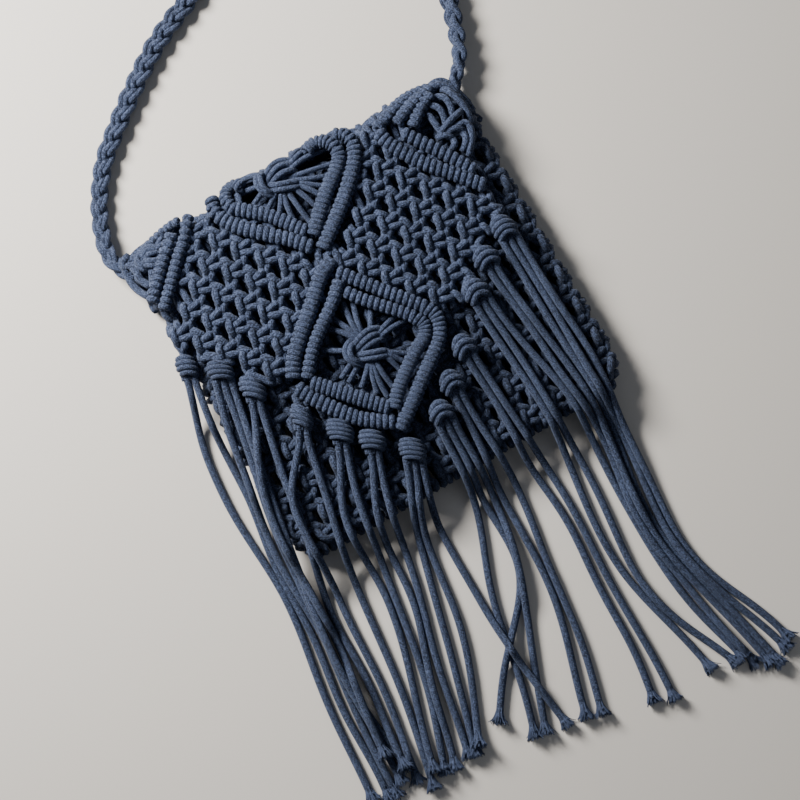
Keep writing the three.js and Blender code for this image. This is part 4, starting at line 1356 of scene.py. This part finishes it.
class BAG_OT_flap(bpy.types.Operator):
    """Knots the flap around its diamonds, over the fold and down to its fringed edge"""

    bl_idname = "bag.flap"
    bl_label = "Flap"

    def execute(self, context):
        sizes = context.scene.bag_sizes
        radius = sizes.cord_diameter * MM / 2
        wide = sizes.knot_width * MM
        tall = sizes.knot_height * MM
        outline = self.outline()
        kept = set()
        for row in FLAP_ROWS:
            for column in FLAP_COLUMNS:
                if self.keeps(wide * knot_middle(row, column), -tall * (row + 0.5), outline):
                    kept.add((row, column))
        shakes = knot_shakes(kept, np.random.default_rng(SEED + 1))
        bars = np.concatenate([
            slack_line(np.column_stack([line, np.zeros(len(line))]), BAR_PRESS_SAMPLES)[:, :2]
            for *_, lines in BARS.values() for line in lines
        ])
        cords = CordMesh()
        for run in knot_runs(kept):
            points = run_points(run, shakes)
            u = points[:, 0] / KNOT_WIDTH * wide
            v = points[:, 1] / KNOT_HEIGHT * tall
            lift = points[:, 2] * np.where(points[:, 2] < 0, FLAP_INNER_PRESS, 1.0) + FLAP_NET_LIFT
            line = np.stack([u, v, lift], -1)
            line = np.concatenate([[line[0] + NET_CORD_START], line])
            if self.fringed(line[-1], outline):
                placed = self.into_knot(self.place(smooth_line(line, parts=2), radius, bars))
            else:
                ends = line[-1] + np.array(self.net_ends(line[-1]))
                placed = self.place(smooth_line(np.concatenate([line, ends]), parts=2), radius, bars)
            cords.lay(placed, radius)
        for lift, row in FOLD_CORDS:
            line = slack_line(np.column_stack([fold_line(row), np.full(len(row), lift)]), FOLD_CORD_POINTS)
            cords.lay(self.place(line, radius, bars), radius * FOLD_CORD_SHARE)
        for points in JUNCTION_CORDS:
            cords.lay(flap_point(*smooth_line(points, parts=4).T), radius, FINE_SIDES)
        cords.finish("flap_net", cotton("knotted_cotton"), "net", "flap")
        return {"FINISHED"}

    def into_knot(self, placed):
        """The cord, led on into the nearest gathering knot if one is near."""
        knots = [(knot_place(i + 1), knot_hang(i + 1)) for i in range(len(KNOTS))]
        end = placed[-1]
        away = [np.linalg.norm(end - middle + hang * TAIL_COMES_IN) for middle, hang in knots]
        nearest = int(np.argmin(away))
        if away[nearest] >= TAIL_REACH:
            return placed
        middle, hang = knots[nearest]
        start = end + unit(end - placed[-3]) * TAIL_STRAIGHT
        tail = [end, start, middle - hang * TAIL_COMES_IN, middle - hang * TAIL_ENDS]
        return np.concatenate([placed, smooth_line(tail, parts=4)[1:]])

    def net_ends(self, end):
        """Steps by which a cord leaves the net: below a bar, or into the bag at the fold."""
        x, reach = flap_plan(end[0], end[1])
        return NET_ENDS_AT_FOLD if reach > fold_start(x) else NET_ENDS_AT_BAR

    def place(self, line, radius, bars):
        """Points of a cord, pressed into the sheet where it turns over the fold or meets a bar."""
        x, reach = flap_plan(line[:, 0], line[:, 1])
        turned = np.clip((reach - fold_start(x)) / fold_radius(x), 0, 1)
        dips = sum(np.exp(-((line[:, 0] - u) / width) ** 2) for u, width in FOLD_DIPS)
        apart = np.linalg.norm(line[:, None, :2] - bars[None], axis=2).min(axis=1)
        drawn = BAR_PRESS * np.clip(1 - apart / BAR_PRESS_REACH, 0, 1) * (1 - turned)
        flattened = line[:, 2] * (1 - FOLD_FLATTEN * turned)
        pressed = flattened - (FOLD_PRESS + FOLD_DIP * dips) * turned - drawn
        points = flap_point(line[:, 0], line[:, 1], pressed)
        points[:, 2] = np.maximum(points[:, 2], radius + FLOOR_CLEARANCE)
        return points

    def outline(self):
        """Plan outline of the flap, with y as arc length past the fold."""
        right = [tuple(float(c) for c in flap_plan(u, v)) for u, v in FLAP_EDGE]
        left = [tuple(float(c) for c in flap_plan(-u, v)) for u, v in FLAP_EDGE[:-1]]
        return [
            (FLAP_LEFT_X, FLAP_BACK_Y), (FLAP_LEFT_X, FLAP_LEFT_END_Y), *left, *right[::-1],
            FLAP_RIGHT_LOW, (FLAP_RIGHT_X, FLAP_RIGHT_END_Y), (FLAP_RIGHT_X, FLAP_BACK_Y),
        ]

    def keeps(self, u, v, outline):
        """Whether a knot belongs to the flap's net."""
        x, reach = (float(c) for c in flap_plan(u, v))
        if not inside_outline(x, reach, outline):
            return False
        across = np.array(x)
        if reach > float(flap_back_end(across)) + FLAP_BACK_OVER:
            return False
        if reach > float(fold_start(across)) + FLAP_NET_TURN * float(fold_radius(across)):
            return True
        for du, dv, half_width, half_height in DIAMONDS.values():
            if abs(u - du) / half_width + abs(v - dv) / half_height < 1.0:
                return False
        return True

    def fringed(self, end, outline):
        """Whether a cord leaves the net at the edge that carries the fringe."""
        x, reach = (float(c) for c in flap_plan(end[0], end[1] - FRINGE_EDGE_REACH))
        return not inside_outline(x, reach, outline) and reach < POUCH_MOUTH_Y - FRINGE_MOUTH_GAP


def wind(cords, path, pitch, lean, half_width, seat):
    """Winds half hitches side by side round a line of the flap; each goes on to the next below."""
    line = slack_line(np.column_stack([path, np.zeros(len(path))]), BAR_SAMPLES)
    length = steps_of(line).sum()
    headings = np.unwrap(np.arctan2(*np.gradient(line, axis=0).T[1::-1]))
    bends = np.convolve(np.gradient(headings), np.ones(BEND_SAMPLES) / BEND_SAMPLES, "same")
    bends = bends * (len(line) - 1) / length
    crowding = 1 + BAR_CROWDING * half_width * np.abs(bends)
    crowded = np.concatenate([[0], np.cumsum(crowding[1:])])
    wraps = max(WRAPS_MIN, round(length * crowded[-1] / (len(line) - 1) / pitch))
    turns = np.linspace(WRAP_START, wraps + WRAP_START, wraps * WRAP_POINTS + 1)
    under = np.clip((turns % 1) * 2 - 1, 0, 1)
    share = np.clip((np.floor(turns) + 0.5 + under * under * (3 - 2 * under)) / wraps, 0, 1)
    places = np.arange(len(line))
    walked = np.interp(share * crowded[-1], crowded, places)
    u, v = (np.interp(walked, places, line[:, i]) for i in (0, 1))
    low = flap_point(u, v, seat)
    up = unit(flap_point(u, v, seat + 1) - low)
    middle = flap_point(line[:, 0], line[:, 1], seat)
    ways = unit(np.gradient(middle, axis=0))
    along = unit(np.stack([np.interp(walked, places, ways[:, i]) for i in range(3)], -1))
    side = np.cross(up, along)
    wide = pitch * WRAP_WIDTH
    thick = wide * WRAP_FLAT
    angle = 2 * np.pi * turns
    fast, slow = (wave * share * np.pi for wave in WRAP_WAVES)
    uneven = 1 + WRAP_UNEVEN * np.sin(fast + length) * np.sin(slow)
    across = (half_width - thick) * np.cos(angle) * uneven
    rise = (BAR_HALF_HEIGHT - thick) * np.sin(angle) * uneven
    points = low + side * across[:, None] + up * rise[:, None] + along * (lean * across)[:, None]
    bend, crowd = (np.interp(walked, places, values) for values in (bends, crowding))
    fan = np.clip((1 - across * bend) / crowd, *WRAP_FAN)
    cords.lay(points, wide * fan, FINE_SIDES, along, WRAP_FLAT)
    cords.lay(middle[BAR_CORE_STEP:-BAR_CORE_STEP:BAR_CORE_STEP], BAR_CORE)


class BAG_OT_bars(bpy.types.Operator):
    """Winds the bars that draw the diamonds"""

    bl_idname = "bag.bars"
    bl_label = "Bars"

    def execute(self, context):
        material = cotton("wound_cotton")
        for name, (pitches, half_widths, lean, lines) in BARS.items():
            for rank, line, pitch, half_width in zip(("outer", "inner"), lines, pitches, half_widths):
                cords = CordMesh()
                wind(cords, np.array(line, float), pitch, lean, half_width, BAR_SEAT + BAR_RISE)
                cords.finish(f"bar_{name}_{rank}_wound", material, "bars", f"bar_{name}_{rank}")
        for name, rows in FOLD_BARS.items():
            cords = CordMesh()
            for row in rows:
                wind(cords, fold_line(row), FOLD_PITCH, 0.0, FOLD_BAR_HALF_WIDTH, BAR_SEAT + FOLD_BAR_RISE)
            cords.finish(f"bar_{name}_wound", material, "bars", f"bar_{name}")
        return {"FINISHED"}


class BAG_OT_flowers(bpy.types.Operator):
    """Ties the large square knots in the diamonds and spreads their cords to the bars"""

    bl_idname = "bag.flowers"
    bl_label = "Flowers"

    def execute(self, context):
        material = cotton("wound_cotton")
        for name, diamond, u, v, size, directions in FLOWERS:
            cords = CordMesh()
            self.knot(cords, u, v, size)
            for angle in directions:
                self.spoke(cords, diamond, u, v, math.radians(angle))
            cords.finish(f"{name}_knot", material, "bars", name)
        cords = CordMesh()
        for points in RIGHT_FLOWER:
            cords.lay(flap_point(*smooth_line(points, parts=4).T), RIGHT_FLOWER_CORD, FINE_SIDES)
        cords.finish("flower_right_knot", material, "bars", "flower_right")
        return {"FINISHED"}

    def knot(self, cords, u, v, size):
        """Bundles of cords that cross over and lock round each other."""
        for points in FLOWER_CORDS:
            line = smooth_line(np.array(points) * [size, size, 1.0] + [u, v, 0], parts=4)
            cords.lay(flap_point(*line.T), FLOWER_CORD, FINE_SIDES)
        line = smooth_line(np.array(FLOWER_CORE_LINE) * [size, 1.0, 1.0] + [u, v, 0], parts=3)
        cords.lay(flap_point(*line.T), FLOWER_CORE, FINE_SIDES)

    def spoke(self, cords, diamond, u, v, angle):
        """One spread cord from under the knot to the rim of its window."""
        du, dv, half_width, half_height = DIAMONDS[diamond]
        window = 1 - WINDOW_RIM * math.hypot(half_width, half_height) / (half_width * half_height)
        cosine = math.cos(angle)
        sine = math.sin(angle)
        rim = np.abs(u + SPOKE_TRIES * cosine - du) / half_width
        rim = rim + np.abs(v + SPOKE_TRIES * sine - dv) / half_height
        x, _ = flap_plan(u + SPOKE_TRIES * cosine, v + SPOKE_TRIES * sine)
        inside = (rim < window) & (x > FLAP_LEFT_X + SPOKE_SIDE_GAP) & (x < FLAP_RIGHT_X - SPOKE_SIDE_GAP)
        reach = float(SPOKE_TRIES[inside].max(initial=SPOKE_MIN)) + SPOKE_TUCK
        shares = np.linspace(SPOKE_START, 1, SPOKE_POINTS)
        away = shares * reach
        aside = SPOKE_BEND * math.sin(SPOKE_BENDS * angle) * np.sin(np.pi * shares)
        line_u = u + away * cosine - aside * sine
        line_v = v + away * sine + aside * cosine
        lift = SPOKE_RISE * np.sin(np.pi * np.minimum(1, shares * SPOKE_RISE_END)) - SPOKE_SINK
        cords.lay(smooth_line(flap_point(line_u, line_v, lift), parts=2), FLOWER_CORD)


class BAG_OT_tassels(bpy.types.Operator):
    """Gathers the fringe in knots and lets its cords fall, with frayed ends"""

    bl_idname = "bag.tassels"
    bl_label = "Tassels"

    def execute(self, context):
        fray_length = context.scene.bag_sizes.fray_length * MM
        random = np.random.default_rng(SEED)
        laid = lay_cords()
        for index in range(1, len(KNOTS) + 1):
            name = f"tassel_{index:02d}"
            cords = CordMesh()
            fibres = CordMesh()
            self.head(cords, index)
            for knot, points in laid:
                if knot == index:
                    line = smooth_line(settle(points), parts=3)
                    cords.lay(line, FRINGE_RADIUS, FINE_SIDES)
                    way = unit(line[-1] - line[-FRAY_WAY_POINTS])
                    fray(cords, fibres, line[-1], way, fray_length, random)
            cords.finish(f"{name}_cords", cotton("fringe_cotton"), "fringe", name)
            # The loose fibres are a brighter copy of the same cotton, as painted light
            fibres.finish(f"{name}_frays", cotton("frayed_cotton_painted_light"), "fringe", name)
        return {"FINISHED"}

    def head(self, cords, index):
        """Wraps of the gathering knot, bowed round the cords that hang from it."""
        place = knot_place(index)
        hang = knot_hang(index)
        side = np.array([-hang[1], hang[0], 0.0])
        up = np.array([0, 0, 1.0])
        width, height, slant, bow, wraps = HEADS[index - 1]
        wrap = height / (HEAD_OVERLAP * (wraps - 1) + 2)
        angle = np.linspace(0, 2 * np.pi, HEAD_WRAP_POINTS)
        bowed = bow * (np.cos(angle) ** 2 - HEAD_BOW_MIDDLE)
        for level in np.linspace(-1, 1, wraps):
            share = 1 - HEAD_TAPER * level ** 2
            across = (width / 2 * share - wrap) * np.cos(angle)
            rise = (HEAD_DEPTH * share - wrap) * np.sin(angle)
            down = level * (height / 2 - wrap) + slant * across + bowed
            line = place + side * across[:, None] + up * rise[:, None] + hang * down[:, None]
            cords.lay(line, wrap, FINE_SIDES)
        for aside in HEAD_CORDS_ASIDE:
            inner = [
                place + hang * down + side * aside * share + up * rise for down, share, rise in HEAD_CORD_LINE
            ]
            cords.lay(smooth_line(inner, parts=4), HEAD_CORD)


class BAG_OT_corners(bpy.types.Operator):
    """Loops cords round the bag's top corners, where the strap is tied on"""

    bl_idname = "bag.corners"
    bl_label = "Corners"

    def execute(self, context):
        radius = context.scene.bag_sizes.cord_diameter * MM / 2
        for name, loops in CORNER_LOOPS.items():
            cords = CordMesh()
            for points in loops:
                cords.lay(smooth_line(points, parts=5), radius, FINE_SIDES)
            cords.finish(f"corner_{name}_loops", cotton("knotted_cotton"), "net", "flap")
        return {"FINISHED"}


class BAG_PT_panel(bpy.types.Panel):
    """Sizes, colours and pieces of the bag"""

    bl_idname = "BAG_PT_panel"
    bl_label = "Knotted Bag"
    bl_space_type = "VIEW_3D"
    bl_region_type = "UI"
    bl_category = "Bag"

    def draw(self, context):
        """Shows the settings, then a button for each piece."""
        layout = self.layout
        for settings in (context.scene.bag_sizes, context.scene.bag_colours):
            for name in settings.__annotations__:
                layout.prop(settings, name)
        for operator in PIECES:
            layout.operator(operator.bl_idname)


PIECES = (
    BAG_OT_stage, BAG_OT_strap, BAG_OT_pouch, BAG_OT_flap, BAG_OT_bars, BAG_OT_flowers, BAG_OT_tassels,
    BAG_OT_corners,
)
CLASSES = (BagSizes, BagColours, *PIECES, BAG_PT_panel)


def register():
    """Adds the settings, operators and panel to Blender."""
    for cls in CLASSES:
        bpy.utils.register_class(cls)
    bpy.types.Scene.bag_sizes = PointerProperty(type=BagSizes)
    bpy.types.Scene.bag_colours = PointerProperty(type=BagColours)


def unregister():
    """Takes the settings, operators and panel out of Blender again."""
    del bpy.types.Scene.bag_colours
    del bpy.types.Scene.bag_sizes
    for cls in reversed(CLASSES):
        bpy.utils.unregister_class(cls)


def main():
    """Makes the whole bag."""
    register()
    bpy.ops.bag.stage()
    bpy.ops.bag.strap()
    bpy.ops.bag.pouch()
    bpy.ops.bag.flap()
    bpy.ops.bag.bars()
    bpy.ops.bag.flowers()
    bpy.ops.bag.tassels()
    bpy.ops.bag.corners()


if __name__ == "__main__":
    main()
